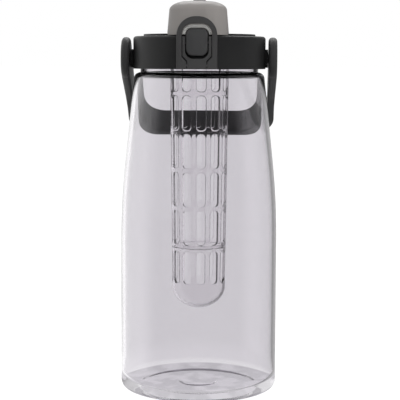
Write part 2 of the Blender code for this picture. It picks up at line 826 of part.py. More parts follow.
def make_latch_spring():
    """A coil between the lever's back and the collar's pocket; its least gap is printed."""
    near = -(LEVER_FRONT - LEVER_THICKNESS) + FIT + SPRING_WIRE / 2
    far = -COLLAR_RADIUS + SPRING_POCKET - FIT - SPRING_WIRE / 2
    points = []
    for share in np.linspace(0, 1, int(10 * LATCH_SPRING_TURNS) + 1):
        turn = 2 * pi * LATCH_SPRING_TURNS * share
        x = LATCH_SPRING_RADIUS * cos(turn)
        z = LATCH_SPRING_Z + LATCH_SPRING_RADIUS * sin(turn)
        points.append((x, near + (far - near) * share, z))
    least = min(
        (Vector(a) - Vector(b)).length for i, a in enumerate(points) for b in points[i + 6 :]
    )
    print(f"latch_spring: least gap between turns {1000 * (least - SPRING_WIRE):.2f} mm")
    return wire("latch_spring", points, SPRING_WIRE / 2, STEEL)


def housing_outline():
    """The raised frame round the button with its stem below, open at its top."""
    corner_x = POCKET_HALF_WIDTH - POCKET_CORNER
    corner_z = POCKET_BOTTOM + POCKET_CORNER
    pocket = [
        (-POCKET_HALF_WIDTH, HOUSING_TOP),
        *arc((-corner_x, corner_z), POCKET_CORNER, 180, 270, 6),
        *arc((corner_x, corner_z), POCKET_CORNER, 270, 360, 6),
        (POCKET_HALF_WIDTH, HOUSING_TOP),
    ]
    outside = [
        (HOUSING_HALF_WIDTH, HOUSING_TOP),
        (HOUSING_HALF_WIDTH, HOUSING_CHAMFER_TOP),
        (STEM_HALF_WIDTH, HOUSING_CHAMFER_BOTTOM),
        (STEM_HALF_WIDTH, STEM_BOTTOM),
    ]
    mirrored = [(-x, z) for x, z in outside[::-1]]
    return pocket + outside + mirrored


def make_latch_housing():
    housing = plate(
        "latch_housing",
        housing_outline(),
        -HOUSING_FRONT,
        -COLLAR_RADIUS + COLLAR_WALL,
        FRONT_PLANE,
        DARK,
        edge=0.0002,
    )
    round_back = rod(
        "collar_room",
        COLLAR_RADIUS + FIT,
        (0, 0, COLLAR_BOTTOM - COLLAR_WALL),
        (0, 0, COLLAR_TOP + COLLAR_WALL),
        DARK,
        TOOLS,
        steps=2 * BODY_STEPS,
    )
    reach = 2 * HOUSING_HALF_WIDTH
    latch_bore = rod(
        "latch_bore",
        LATCH_PIN_RADIUS + RUNNING,
        (-reach, LATCH_AXIS_Y, LATCH_AXIS_Z),
        (reach, LATCH_AXIS_Y, LATCH_AXIS_Z),
        DARK,
        TOOLS,
    )
    cut(housing, round_back, latch_bore, lock_bore())
    return housing


def lock_bore():
    """The cutter of the lock pin's bore, shared by the housing's stem and the loop's legs."""
    if "lock_bore" in bpy.data.objects:
        return bpy.data.objects["lock_bore"]
    reach = 2 * LOOP_HALF_WIDTH
    return rod(
        "lock_bore",
        LOCK_PIN_RADIUS + RUNNING,
        (-reach, LOCK_AXIS_Y, LOCK_AXIS_Z),
        (reach, LOCK_AXIS_Y, LOCK_AXIS_Z),
        DARK,
        TOOLS,
    )


def make_latch_lever():
    half_width = BUTTON_HALF_WIDTH
    back = -(LEVER_FRONT - LEVER_THICKNESS)
    outline = pad_outline(LEVER_INSET)
    lever = plate("latch_lever", outline, -LEVER_FRONT, back, FRONT_PLANE, DARK)
    barrel = rod(
        "lever_barrel",
        LEVER_BARREL,
        (-half_width + LEVER_INSET, LATCH_AXIS_Y, LATCH_AXIS_Z),
        (half_width - LEVER_INSET, LATCH_AXIS_Y, LATCH_AXIS_Z),
        DARK,
        TOOLS,
    )
    face = block(
        "lever_face",
        (-half_width, -LEVER_FRONT - LEVER_BARREL, LEVER_BOTTOM),
        (half_width, -LEVER_FRONT, LEVER_TOP),
        DARK,
        TOOLS,
    )
    tooth = block(
        "lever_tooth",
        (-TOOTH_HALF_WIDTH, back - LEVER_THICKNESS / 2, LEVER_TOP - TOOTH_HEIGHT - FIT),
        (TOOTH_HALF_WIDTH, CAP_FRONT_Y - FIT, LEVER_TOP - FIT),
        DARK,
        TOOLS,
    )
    join(lever, barrel, tooth)
    cut(lever, face, bpy.data.objects["latch_bore"])
    return lever


def pad_outline(inset):
    """The button's outline moved inwards by inset: wide round corners below, smaller ones above."""
    corner = POCKET_CORNER - LATCH_PLAY
    upper = LIP_CORNER - HOUSING_RAIL - LATCH_PLAY
    low = BUTTON_BOTTOM + corner
    high = BUTTON_TOP - upper
    half_width = BUTTON_HALF_WIDTH
    return [
        *arc((half_width - corner, low), corner - inset, 270, 360, 6),
        *arc((half_width - upper, high), upper - inset, 0, 90, 6),
        *arc((-half_width + upper, high), upper - inset, 90, 180, 6),
        *arc((-half_width + corner, low), corner - inset, 180, 270, 6),
    ]


def make_latch_button():
    """A pad with rounded edges that the thumb presses."""
    back = -(LEVER_FRONT + FIT)
    return plate(
        "latch_button",
        pad_outline(0),
        back,
        back - BUTTON_THICKNESS - BUTTON_CROWN,
        FRONT_PLANE,
        BUTTON_DARK,
        edge=BUTTON_CROWN,
    )


def make_latch_pin():
    reach = HOUSING_HALF_WIDTH
    start = (-reach, LATCH_AXIS_Y, LATCH_AXIS_Z)
    return rod("latch_pin", LATCH_PIN_RADIUS, start, (reach, LATCH_AXIS_Y, LATCH_AXIS_Z), STEEL)


def loop_outline():
    """An arch with two legs that close in on the housing's stem."""
    inner = [
        (LOOP_LEG_INNER, STEM_BOTTOM),
        (LOOP_LEG_INNER, HOUSING_CHAMFER_BOTTOM - LOOP_CHAMFER_DROP),
        (LOOP_OPENING, HOUSING_CHAMFER_TOP - LOOP_CHAMFER_DROP),
        *arch_outline(LOOP_OPENING, HOUSING_CHAMFER_TOP, LOOP_OPENING_TOP, LOOP_OPENING_CORNER)[1:-1],
        (-LOOP_OPENING, HOUSING_CHAMFER_TOP - LOOP_CHAMFER_DROP),
        (-LOOP_LEG_INNER, HOUSING_CHAMFER_BOTTOM - LOOP_CHAMFER_DROP),
        (-LOOP_LEG_INNER, STEM_BOTTOM),
    ]
    outer = arch_outline(LOOP_HALF_WIDTH, STEM_BOTTOM, LOOP_TOP, LOOP_CORNER)
    return outer + inner[::-1]


def make_lock_loop():
    loop = plate(
        "lock_loop",
        loop_outline(),
        -LOOP_BACK,
        -LOOP_BACK - LOOP_THICKNESS,
        FRONT_PLANE,
        DARK,
        edge=LOOP_EDGE,
    )
    cut(loop, lock_bore())
    return loop


def make_lock_pin():
    reach = LOOP_HALF_WIDTH - FIT
    start = (-reach, LOCK_AXIS_Y, LOCK_AXIS_Z)
    return rod("lock_pin", LOCK_PIN_RADIUS, start, (reach, LOCK_AXIS_Y, LOCK_AXIS_Z), STEEL)


def bail_outline():
    """The bail seen square on, hanging down from its pivots: a U with round corners."""
    top = EYE_RADIUS
    inner_x = ARM_INNER - HANDLE_INNER_CORNER
    inner_z = -HANDLE_REACH + ARM_THICKNESS / 2 + HANDLE_INNER_CORNER
    outer_x = ARM_OUTER - HANDLE_CORNER
    outer_z = -HANDLE_REACH - ARM_THICKNESS / 2 + HANDLE_CORNER
    eye_x = EYE_SPAN - EYE_ROUND
    tip_x = ARM_INNER + EYE_ROUND
    eye_z = top - EYE_ROUND
    return [
        (EYE_SPAN, -EYE_RADIUS / 2),
        *arc((eye_x, eye_z), EYE_ROUND, 0, 90, 4),
        *arc((tip_x, eye_z), EYE_ROUND, 90, 180, 4),
        *arc((inner_x, inner_z), HANDLE_INNER_CORNER, 0, -90, 8),
        *arc((-inner_x, inner_z), HANDLE_INNER_CORNER, 270, 180, 8),
        *arc((-tip_x, eye_z), EYE_ROUND, 0, 90, 4),
        *arc((-eye_x, eye_z), EYE_ROUND, 90, 180, 4),
        (-EYE_SPAN, -EYE_RADIUS / 2),
        (-ARM_OUTER, -HANDLE_REACH * 0.6),
        *arc((-outer_x, outer_z), HANDLE_CORNER, 180, 270, 8),
        *arc((outer_x, outer_z), HANDLE_CORNER, -90, 0, 8),
        (ARM_OUTER, -HANDLE_REACH * 0.6),
    ]


def bail_side_outline():
    """The bail seen from its side: a round eye at the pivot drawn down to the grip's width."""
    half = GRIP_WIDTH / 2
    waist = -HANDLE_REACH * 0.45
    bottom = -HANDLE_REACH - ARM_THICKNESS
    lean = degrees(atan2(EYE_RADIUS - half, -waist)) + 8
    eye = arc((0, 0), EYE_RADIUS, -lean, 180 + lean, 19)
    return [(half, bottom), (half, waist), *eye, (-half, waist), (-half, bottom)]


def make_handle():
    """The bail, built hanging straight down about its pivot and then swung back to rest."""
    handle = plate(
        "handle", bail_outline(), -EYE_RADIUS * 1.1, EYE_RADIUS * 1.1, FRONT_PLANE, DARK
    )
    side = plate(
        "handle_side",
        bail_side_outline(),
        -HANDLE_HALF_SPAN * 1.1,
        HANDLE_HALF_SPAN * 1.1,
        SIDE_PLANE,
        DARK,
        collection=TOOLS,
    )
    swing = Matrix.Translation((0, 0, PIVOT_HEIGHT)) @ Matrix.Rotation(HANDLE_HANG, 4, "X")
    for piece in (handle, side):
        piece.matrix_world = swing @ piece.matrix_basis
    boolean(handle, side, "INTERSECT")
    sides = (("right", 1), ("left", -1))
    for name, sign in sides:
        start = (sign * (ARM_INNER - FIT), 0, PIVOT_HEIGHT)
        end = (sign * (EYE_SPAN + FIT), 0, PIVOT_HEIGHT)
        bore = rod(f"eye_bore_{name}", PIVOT_PIN_RADIUS + RUNNING, start, end, DARK, TOOLS)
        cut(handle, bore)
    edge = handle.modifiers.new("edge", "BEVEL")
    edge.width = HANDLE_EDGE
    edge.segments = 1
    edge.limit_method = "ANGLE"
    edge.angle_limit = radians(50)
    edge.use_clamp_overlap = True
    for name, sign in sides:
        start = (sign * (EYE_SPAN - PIN_HEAD_THICKNESS - FIT), 0, PIVOT_HEIGHT)
        end = (sign * (EYE_SPAN + FIT), 0, PIVOT_HEIGHT)
        recess = rod(
            f"eye_recess_{name}",
            PIN_HEAD_RADIUS + RUNNING,
            start,
            end,
            DARK,
            TOOLS,
            steps=ROUND_STEPS // 2,
        )
        cut(handle, recess)
    return handle


def make_pivot_pin(side, sign):
    """A pin with a wide head sunk flush in the arm, its profile turned about Z and laid along X."""
    shank = BOSS_END - PIN_DEPTH
    head = EYE_SPAN - PIN_HEAD_THICKNESS
    outer = EYE_SPAN
    profile = [
        (0, outer),
        (PIN_HEAD_RADIUS - PIN_HEAD_THICKNESS / 2, outer),
        (PIN_HEAD_RADIUS, outer - PIN_HEAD_THICKNESS / 2),
        (PIN_HEAD_RADIUS, head),
        (PIVOT_PIN_RADIUS, head),
        (PIVOT_PIN_RADIUS, shank),
        (0, shank),
    ]
    pin = turned(f"pivot_pin_{side}", profile, DARK, steps=ROUND_STEPS // 2, at=(0, 0, PIVOT_HEIGHT))
    pin.rotation_euler = (0, sign * pi / 2, 0)
    return pin


def infuser_collar_profile():
    ring_z = INFUSER_COLLAR_TOP - O_RING_DROP
    half_groove = O_RING_THICKNESS / 2 + FIT
    groove = INFUSER_COLLAR_RADIUS - O_RING_THICKNESS - FIT
    bore = BASKET_TOP_RADIUS + FIT
    return [
        (bore - INFUSER_LIP, INFUSER_COLLAR_TOP),
        (INFUSER_COLLAR_RADIUS, INFUSER_COLLAR_TOP),
        (INFUSER_COLLAR_RADIUS, ring_z + half_groove),
        (groove, ring_z + half_groove),
        (groove, ring_z - half_groove),
        (INFUSER_COLLAR_RADIUS, ring_z - half_groove),
        (INFUSER_COLLAR_RADIUS, INFUSER_COLLAR_BOTTOM),
        (bore, INFUSER_COLLAR_BOTTOM),
        (bore, BASKET_TOP + FIT),
        (bore - INFUSER_LIP, BASKET_TOP + FIT),
    ]


def make_o_ring():
    ring_z = INFUSER_COLLAR_TOP - O_RING_DROP
    half = O_RING_THICKNESS / 2
    centre = (INFUSER_COLLAR_RADIUS - half, ring_z)
    profile = arc(centre, half, 180, -180, 7)[:-1]
    return turned("infuser_o_ring", profile, SILICONE, ring=True)


def basket_radius(height):
    """The basket's outer radius on its taper."""
    low = BASKET_TIP + BASKET_END_HEIGHT
    share = (height - low) / (INFUSER_COLLAR_BOTTOM - low)
    return BASKET_END_RADIUS + (BASKET_TOP_RADIUS - BASKET_END_RADIUS) * share


def slot_outline(length):
    """One slot, standing, with rounded ends: across and up from its middle."""
    half_width, half_length = SLOT_WIDTH / 2, length / 2
    corner = half_width * 0.6
    return [
        *arc((half_width - corner, half_length - corner), corner, 0, 90, 2),
        *arc((-half_width + corner, half_length - corner), corner, 90, 180, 2),
        *arc((-half_width + corner, -half_length + corner), corner, 180, 270, 2),
        *arc((half_width - corner, -half_length + corner), corner, 270, 360, 2),
    ]


def fill_slots(bm, bottoms, length):
    """Radial prisms of the slot outline, one for each slot, that pass through the basket's wall."""
    inner = BASKET_END_RADIUS - 2 * BASKET_WALL
    outer = BASKET_TOP_RADIUS + BASKET_WALL
    outline = slot_outline(length)
    for bottom in bottoms:
        middle = bottom + length / 2
        for column in range(SLOT_COLUMNS):
            turn = SLOT_TURN + 2 * pi * column / SLOT_COLUMNS - pi / 2
            out = Vector((cos(turn), sin(turn), 0))
            across = Vector((-sin(turn), cos(turn), 0))
            loops = [
                [bm.verts.new(out * reach + across * x + Vector((0, 0, middle + z))) for x, z in outline]
                for reach in (inner, outer)
            ]
            bm.faces.new(loops[0][::-1])
            bm.faces.new(loops[1])
            for i in range(len(outline)):
                after = (i + 1) % len(outline)
                bm.faces.new((loops[0][i], loops[0][after], loops[1][after], loops[1][i]))
    bmesh.ops.recalc_face_normals(bm, faces=bm.faces)


def slot_cutter(name, bottoms, length):
    return add_object(name, mesh_from(lambda bm: fill_slots(bm, bottoms, length)), CLEAR, TOOLS)


def make_infuser_basket():
    """The slotted tube, open at both ends."""
    outer, inner = BASKET_TOP_RADIUS, BASKET_TOP_RADIUS - BASKET_WALL
    seam = basket_radius(BASKET_SEAM)
    profile = [
        (inner, BASKET_TOP),
        (outer, BASKET_TOP),
        (outer, INFUSER_COLLAR_BOTTOM),
        (seam, BASKET_SEAM),
        (seam - BASKET_WALL, BASKET_SEAM),
        (inner, INFUSER_COLLAR_BOTTOM),
    ]
    basket = turned("infuser_basket", profile, CLEAR, steps=SLOT_COLUMNS * 3, ring=True)
    bottoms = [SLOT_BOTTOM + SLOT_PITCH * row for row in range(SLOT_ROWS)]
    cut(basket, slot_cutter("basket_slots", bottoms, SLOT_LENGTH))
    return basket


def end_curve(radius, height, count):
    """A quarter ellipse from the basket's side down to its tip."""
    level = BASKET_TIP + BASKET_END_HEIGHT
    return [
        (radius * cos(turn), level - height * sin(turn)) for turn in np.linspace(0, pi / 2, count)
    ]


def make_infuser_end():
    """The round end that comes off the tube, with a lip inside the tube's seam."""
    seam = BASKET_SEAM - FIT
    outer = basket_radius(seam)
    inner = outer - BASKET_WALL
    lip_outer = inner - FIT
    lip_inner = lip_outer - SEAM_LIP_WALL
    outside = end_curve(BASKET_END_RADIUS, BASKET_END_HEIGHT, 7)
    inside = end_curve(BASKET_END_RADIUS - BASKET_WALL, BASKET_END_HEIGHT - BASKET_WALL, 5)
    profile = [
        *inside[::-1],
        (lip_inner, seam - SEAM_LIP_WALL),
        (lip_inner, BASKET_SEAM + SEAM_LIP),
        (lip_outer, BASKET_SEAM + SEAM_LIP),
        (lip_outer, seam),
        (outer, seam),
        *outside,
    ]
    end = turned("infuser_end_cap", profile, CLEAR, steps=SLOT_COLUMNS * 3)
    cut(end, slot_cutter("end_slots", [END_SLOT_BOTTOM], END_SLOT_LENGTH))
    return end


def main():
    make_bottle()
    lid = [
        make_lid_collar(),
        make_lid_deck(),
        make_gasket(),
        make_spout(),
        make_vent_valve(),
        make_hinge_pin(),
        make_latch_housing(),
        make_latch_pin(),
        make_latch_spring(),
        make_lock_pin(),
        make_pivot_pin("right", 1),
        make_pivot_pin("left", -1),
    ]
    infuser = [
        make_infuser_basket(),
        make_infuser_end(),
        turned("infuser_collar", infuser_collar_profile(), DARK, ring=True),
        make_o_ring(),
    ]
    latch_axis = (0, LATCH_AXIS_Y, LATCH_AXIS_Z)
    moving = [
        joint("flip_cap_hinge", (0, HINGE_Y, HINGE_Z), make_flip_cap(), make_spout_plug()),
        joint("latch_hinge", latch_axis, make_latch_lever(), make_latch_button()),
        joint("lock_hinge", (0, LOCK_AXIS_Y, LOCK_AXIS_Z), make_lock_loop()),
        joint("handle_hinge", (0, 0, PIVOT_HEIGHT), make_handle()),
    ]
    screw = joint("lid_screw", (0, 0, COLLAR_TOP), *lid, *moving)
    joint("lid_lift", (0, 0, INFUSER_COLLAR_TOP), *infuser, screw)


main()
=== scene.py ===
"""Looks of the clear infuser jug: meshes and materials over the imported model, camera and studio.

Metres, +Z up, latch towards -Y. Sizes that the part's source also names have its names, and its
values but for EYE_ROUND, HANDLE_EDGE and SEAM_LIP_WALL.
"""

from math import atan2, cos, degrees, hypot, pi, radians, sin, sqrt

import bmesh
import bpy
import numpy as np
from mathutils import Matrix, Vector


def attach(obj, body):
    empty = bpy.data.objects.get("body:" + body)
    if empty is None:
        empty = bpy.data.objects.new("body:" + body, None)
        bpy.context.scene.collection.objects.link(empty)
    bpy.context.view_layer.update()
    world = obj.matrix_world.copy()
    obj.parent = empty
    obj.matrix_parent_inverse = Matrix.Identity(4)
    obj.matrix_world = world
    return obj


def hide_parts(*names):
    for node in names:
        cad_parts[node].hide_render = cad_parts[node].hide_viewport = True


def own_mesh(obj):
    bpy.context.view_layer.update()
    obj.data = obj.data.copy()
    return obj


# Camera, fitted to the photograph
IMAGE_SIZE = 400
FOCAL_PIXELS = 1340
SENSOR = 36.0
CAMERA_DISTANCE = 0.892
CAMERA_HEIGHT = 0.2208
CAMERA_AZIMUTH = radians(1.9)
CAMERA_YAW = radians(-0.047)
CAMERA_PITCH = radians(6.05)
CAMERA_ROLL = radians(0.22)
CAMERA_CLIP = 0.01

# Clearances
FIT = 0.0003
RUNNING = 0.0003
LATCH_PLAY = 0.0004

# Jug body
BODY_RADIUS = 0.0520
WALL = 0.0026
HEEL_RADIUS = 0.0055
FLOOR_HEIGHT = 0.0058
FLOOR_CORNER = 0.0070
FOOT_WIDTH = 0.0075
UNDERSIDE_RISE = 0.0024
UNDERSIDE_SLOPE = 0.0050
CENTRE_PAD_RADIUS = 0.0090
TAPER_BOTTOM = 0.1265
TAPER_BLEND = 0.0260
SHOULDER_HEIGHT = 0.2073
SHOULDER_RADIUS = 0.0432
NECK_RADIUS = 0.0390
RIM_HEIGHT = 0.2275
RIM_ROUND = 0.0009

# Screw thread
THREAD_STARTS = 3
THREAD_LEAD = 0.018
THREAD_TURN = radians(105)
THREAD_DEPTH = 0.0013
THREAD_BOTTOM = 0.2172
THREAD_DROP = 0.0023
THREAD_FADE = radians(6)

# Lid
COLLAR_RADIUS = 0.0437
COLLAR_WALL = 0.0029
COLLAR_BOTTOM = 0.2137
COLLAR_TOP = 0.2349
COLLAR_ROUND = 0.0020
COLLAR_LIP = 0.0025
DECK_RADIUS = 0.0369
DECK_TOP = 0.2363
DECK_THICKNESS = 0.0024
DECK_FLANGE = 0.0025
DECK_RIM_WALL = 0.0024
GASKET_THICKNESS = 0.0015
GASKET_WIDTH = 0.0042
SOCKET_WALL = 0.0020
SOCKET_DEPTH = 0.0125

# Infuser
BASKET_TOP_RADIUS = 0.0197
BASKET_END_RADIUS = 0.0177
BASKET_WALL = 0.0015
BASKET_TIP = 0.0540
BASKET_END_HEIGHT = 0.0145
BASKET_SEAM = 0.0958
SEAM_LIP = 0.0014
SEAM_LIP_WALL = 0.0007
SLOT_COLUMNS = 12
SLOT_ROWS = 5
SLOT_PITCH = 0.0252
SLOT_LENGTH = 0.0223
SLOT_WIDTH = 0.0064
SLOT_BOTTOM = 0.0982
SLOT_TURN = radians(6)
SLOT_ROUND = 0.0026
SLOT_EDGE = 0.0005
END_SLOT_BOTTOM = 0.0720
END_SLOT_LENGTH = 0.0213
INFUSER_COLLAR_BOTTOM = 0.2160
INFUSER_COLLAR_WALL = 0.0026
INFUSER_LIP = 0.0018
BASKET_SEAT = 0.0077
O_RING_THICKNESS = 0.0015
O_RING_DROP = 0.0040

# Spout, plug and vent
SPOUT_Y = -0.0120
SPOUT_BORE = 0.0060
SPOUT_WALL = 0.0018
SPOUT_HEIGHT = 0.0087
SPOUT_FLANGE = 0.0016
SPOUT_FLANGE_THICKNESS = 0.0013
PLUG_REACH = 0.0016
PLUG_PLAY = 0.0005
PLUG_FLANGE = 0.0018
PLUG_FLANGE_THICKNESS = 0.0015
PLUG_POST = 0.0045
VENT_Y = 0.0170
VENT_HOLE = 0.0025
VENT_HEAD = 0.0042
VENT_HEAD_THICKNESS = 0.0010

# Flip cap and its hinge
CAP_HALF_WIDTH = 0.0204
CAP_TOP_HALF_WIDTH = 0.0190
CAP_BACK_HALF_WIDTH = 0.0178
CAP_FRONT_Y = -0.0432
CAP_BACK_Y = 0.0297
CAP_TOP = 0.2579
CAP_CORNER = 0.0160
CAP_EDGE_HEIGHT = 0.0060
CAP_EDGE_WIDTH = 0.0125
CAP_CROWN = 0.0010
CAP_WALL = 0.0020
CAP_PARTING = 0.0005
TAB_WIDTH = 0.0078
TAB_LENGTH = 0.0150
TAB_RISE = 0.0030
TAB_Y = 0.0020
HINGE_Y = 0.0325
HINGE_HEIGHT = 0.0028
KNUCKLE_RADIUS = 0.0025
HINGE_PIN_RADIUS = 0.0010
LUG_INNER_X = 0.0070
LUG_WIDTH = 0.0045

# Latch
HOUSING_FRONT = 0.0506
HOUSING_HALF_WIDTH = 0.0091
HOUSING_RAIL = 0.0017
HOUSING_TOP = 0.2343
HOUSING_CHAMFER_TOP = 0.2220
HOUSING_CHAMFER_BOTTOM = 0.2190
STEM_HALF_WIDTH = 0.00615
STEM_BOTTOM = 0.2139
POCKET_BOTTOM = 0.2203
POCKET_CORNER = 0.0050
BUTTON_BOTTOM = 0.2221
BUTTON_TOP = 0.2391
BUTTON_THICKNESS = 0.0019
BUTTON_CROWN = 0.0008
LEVER_FRONT = 0.0475
LEVER_INSET = 0.0007
LATCH_AXIS_Z = 0.2305
LATCH_AXIS_Y = -0.0467
LATCH_PIN_RADIUS = 0.0009
LEVER_THICKNESS = 0.0015
LATCH_SPRING_Z = COLLAR_TOP - 0.0093
LATCH_SPRING_RADIUS = 0.0018
LATCH_SPRING_TURNS = 2.5
SPRING_WIRE = 0.0005
SPRING_POCKET = 0.0012
TOOTH_HALF_WIDTH = 0.0040
WINDOW_SILL = 0.0010
LIP_FRONT = 0.0472
LIP_TOP = 0.2417
LIP_THICKNESS = 0.0022
LIP_CORNER = 0.0062
LOOP_HALF_WIDTH = 0.0128
LOOP_TOP = 0.2468
LOOP_OPENING_TOP = 0.2422
LOOP_THICKNESS = 0.0035
LOOP_CORNER = 0.0120
LOOP_OPENING_CORNER = 0.0066
LOOP_EDGE = 0.0005
LOOP_CHAMFER_DROP = 0.0006
LOCK_PIN_RADIUS = 0.0008
LOCK_AXIS_Z = 0.2164
LOCK_AXIS_Y = -0.04915

# Bail handle
PIVOT_HEIGHT = 0.2205
BOSS_RADIUS = 0.0060
ARM_THICKNESS = 0.0047
HANDLE_HALF_SPAN = 0.0503
EYE_SPAN = 0.0513
EYE_ROUND = 0.0025
HANDLE_REACH = 0.0722
GRIP_WIDTH = 0.0186
EYE_RADIUS = 0.0139
HANDLE_CORNER = 0.0180
HANDLE_INNER_CORNER = 0.0200
HANDLE_EDGE = 0.0013
ARM_TUCK = 0.00002  # how far the arm's faces lie inside the eye's
HANDLE_HANG = radians(51.5)
WAIST_SHARE = 0.45  # how far down the arm its width is the grip's
FLARE_SHARE = 0.6  # how far down the arm its outer face starts to lean out
BELT_LEAN = radians(8)
PIVOT_PIN_RADIUS = 0.0030
PIN_HEAD_RADIUS = 0.0065
PIN_HEAD_THICKNESS = 0.0013
PIN_DEPTH = 0.0036

# Rounded edges
SOFT_EDGE = 0.0004
PLATE_EDGE = 0.0003
DECK_EDGE = 0.0005
SPOUT_EDGE = 0.0006
LIP_EDGE = 0.0004
TAB_EDGE = 0.0006
PIN_EDGE = 0.0006
BUTTON_EDGE = 0.0011
BUTTON_DOME = 0.0005
SEAM_SHARE = 0.3  # how far in the middle of the seam's round lies, as a share of its edge

# Fineness of the meshes, with angles in degrees
BODY_STEPS = 192
ROUND_STEPS = 128
SMALL_STEPS = 64
CAP_CORNER_POINTS = 28
CROWN_SHARES = (0.85, 0.65, 0.45, 0.25)  # the cap's rings on its top, as shares of its rim
DOME_SHARES = (0.9, 0.8, 0.65, 0.5, 0.35, 0.2, 0.1)  # the same for the button's face
PLATE_ROUNDING = 4
SHARP_ANGLE = 35
CLEAR_SHARP_ANGLE = 60
EASED_ANGLE = 25
EASED_SHARE = 0.45
EASED_POINTS = 5
PLATE_WELD = 0.000002
CELL_WELD = 0.000004
POLE_RADIUS = 1e-7
TINY = 1e-9

# Sizes that follow
MOUTH_RADIUS = NECK_RADIUS - WALL
BODY_INNER_RADIUS = BODY_RADIUS - WALL
SHOULDER_ROUND = SHOULDER_RADIUS - NECK_RADIUS
COLLAR_INNER = COLLAR_RADIUS - COLLAR_WALL
LIP_HOLE = DECK_RADIUS + FIT
LIP_UNDERSIDE = COLLAR_TOP - COLLAR_LIP
FLANGE_TOP = LIP_UNDERSIDE - FIT
FLANGE_BOTTOM = FLANGE_TOP - DECK_FLANGE
FLANGE_RADIUS = COLLAR_INNER - FIT
GASKET_TOP = FLANGE_BOTTOM - FIT
DECK_UNDERSIDE = DECK_TOP - DECK_THICKNESS
INFUSER_COLLAR_RADIUS = BASKET_TOP_RADIUS + FIT + INFUSER_COLLAR_WALL
INFUSER_COLLAR_TOP = DECK_UNDERSIDE - FIT
SOCKET_RADIUS = INFUSER_COLLAR_RADIUS + FIT
BASKET_TOP = INFUSER_COLLAR_TOP - BASKET_SEAT
HINGE_Z = DECK_TOP + HINGE_HEIGHT
CAP_BOTTOM = DECK_TOP + FIT
CAP_LIP_BOTTOM = COLLAR_TOP + CAP_PARTING
SPOUT_TOP = DECK_TOP + SPOUT_HEIGHT
SPOUT_RADIUS = SPOUT_BORE + SPOUT_WALL
PLUG_FLANGE_BOTTOM = SPOUT_TOP + FIT
BUTTON_HALF_WIDTH = HOUSING_HALF_WIDTH - HOUSING_RAIL - LATCH_PLAY
LEVER_TOP = BUTTON_TOP - LEVER_INSET
POCKET_HALF_WIDTH = HOUSING_HALF_WIDTH - HOUSING_RAIL
LOOP_OPENING = HOUSING_HALF_WIDTH + LATCH_PLAY
LOOP_BACK = LIP_FRONT + FIT
LOOP_LEG_INNER = STEM_HALF_WIDTH + LATCH_PLAY
ARM_INNER = HANDLE_HALF_SPAN - ARM_THICKNESS
BOSS_END = ARM_INNER - FIT

# Axes along X, as y and z
PIVOT = (0, PIVOT_HEIGHT)
LATCH_AXIS = (LATCH_AXIS_Y, LATCH_AXIS_Z)
LOCK_AXIS = (LOCK_AXIS_Y, LOCK_AXIS_Z)

# Looks of the clear plastics, each span from where a share is nought to where it is one
SMOKE_TINT, SMOKE_SHADOW = (0.826, 0.810, 0.838), (0.86, 0.84, 0.87)
FOOT_BEND, FOOT_BEND_SPAN = 1.04, (0.006, 0.024)
# The underside's two colours are painted shade, with blotches of painted reflection where refracted dark
# shapes would show.
FOOT_PAINTED_SHADE, FOOT_PAINTED_REFLECTION = (0.560, 0.535, 0.585), (0.400, 0.385, 0.420)
FLOOR_SPAN, UNDERSIDE_SPAN = (0.0095, 0.0085), (0.0034, 0.0024)
BASKET_TINT, BASKET_SHADOW = (0.960, 0.952, 0.960), (0.95, 0.94, 0.95)
BASKET_BEND, BASKET_FAR_BEND = 1.45, 1.12
# The slots' side colour is painted shade, darkening the near wall's slot sides that turn to the left.
SLOT_SIDE_PAINTED_SHADE, SLOT_SPAN = (0.30, 0.29, 0.30), (0.0700, 0.0705)
SMOKE_BEND = 1.5
SMOKE_ROUGHNESS, SMOKE_RIPPLE = (0.0, 0.01), 0.0003
BASKET_ROUGHNESS, BASKET_RIPPLE = (0.0, 0.03), 0.0002
RIPPLE_SCALE, RIPPLE_STRETCH, RIPPLE_STRENGTH = 28, (1, 1, 0.45), 0.35
BLOB_SCALE, BLOB_DETAIL, BLOB_SPAN = 75, 1.5, (0.42, 0.62)
LEVEL_SPAN = (0.5, 0.9)
NEAR_SPAN, SIDE_SPAN, SHADED_SIDE_SPAN = (0.003, -0.003), (0.85, 0.45), (0.4, -0.5)

# Looks of the moulded plastics and the steel
NOISE_MIDDLE = (0.3, 0.7)
TONE_SCALE = 45
GRAIN_SCALE, GRAIN_DEPTH = 2600, 0.00002
GRAIN_ROUGHNESS, GRAIN_STRENGTH = 0.06, 0.5
BRUSH_SCALE, BRUSH_STRETCH = 900, (0.08, 1, 1)
BRUSH_DEPTH, BRUSH_STRENGTH = 0.00001, 0.4
STEEL_DARK, STEEL_LIGHT = (0.50, 0.50, 0.52), (0.66, 0.66, 0.67)
STEEL_ROUGHNESS = (0.22, 0.38)

# Turns that stand a flat outline up to face the front or the side
FRONT_PLANE = (pi / 2, 0, 0)
SIDE_PLANE = (pi / 2, 0, pi / 2)

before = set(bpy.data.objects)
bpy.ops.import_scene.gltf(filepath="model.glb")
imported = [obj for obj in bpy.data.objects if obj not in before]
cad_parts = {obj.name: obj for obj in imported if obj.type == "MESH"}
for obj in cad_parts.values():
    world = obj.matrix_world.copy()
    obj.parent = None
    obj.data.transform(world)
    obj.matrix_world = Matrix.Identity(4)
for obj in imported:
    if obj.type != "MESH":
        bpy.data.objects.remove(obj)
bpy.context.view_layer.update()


# Materials
def surface(name, **sockets):
    """A material and its shader, with these sockets held constant."""
    made = bpy.data.materials.new(name)
    made.use_nodes = True
    shader = made.node_tree.nodes["Principled BSDF"]
    for socket, value in sockets.items():
        shader.inputs[socket.replace("_", " ")].default_value = value
    return made, shader


def link(tree, source, target):
    """The target socket takes another node's output, a number, a vector or a colour without alpha."""
    if isinstance(source, bpy.types.NodeSocket):
        tree.links.new(source, target)
    else:
        target.default_value = (*source, 1) if target.type == "RGBA" else source


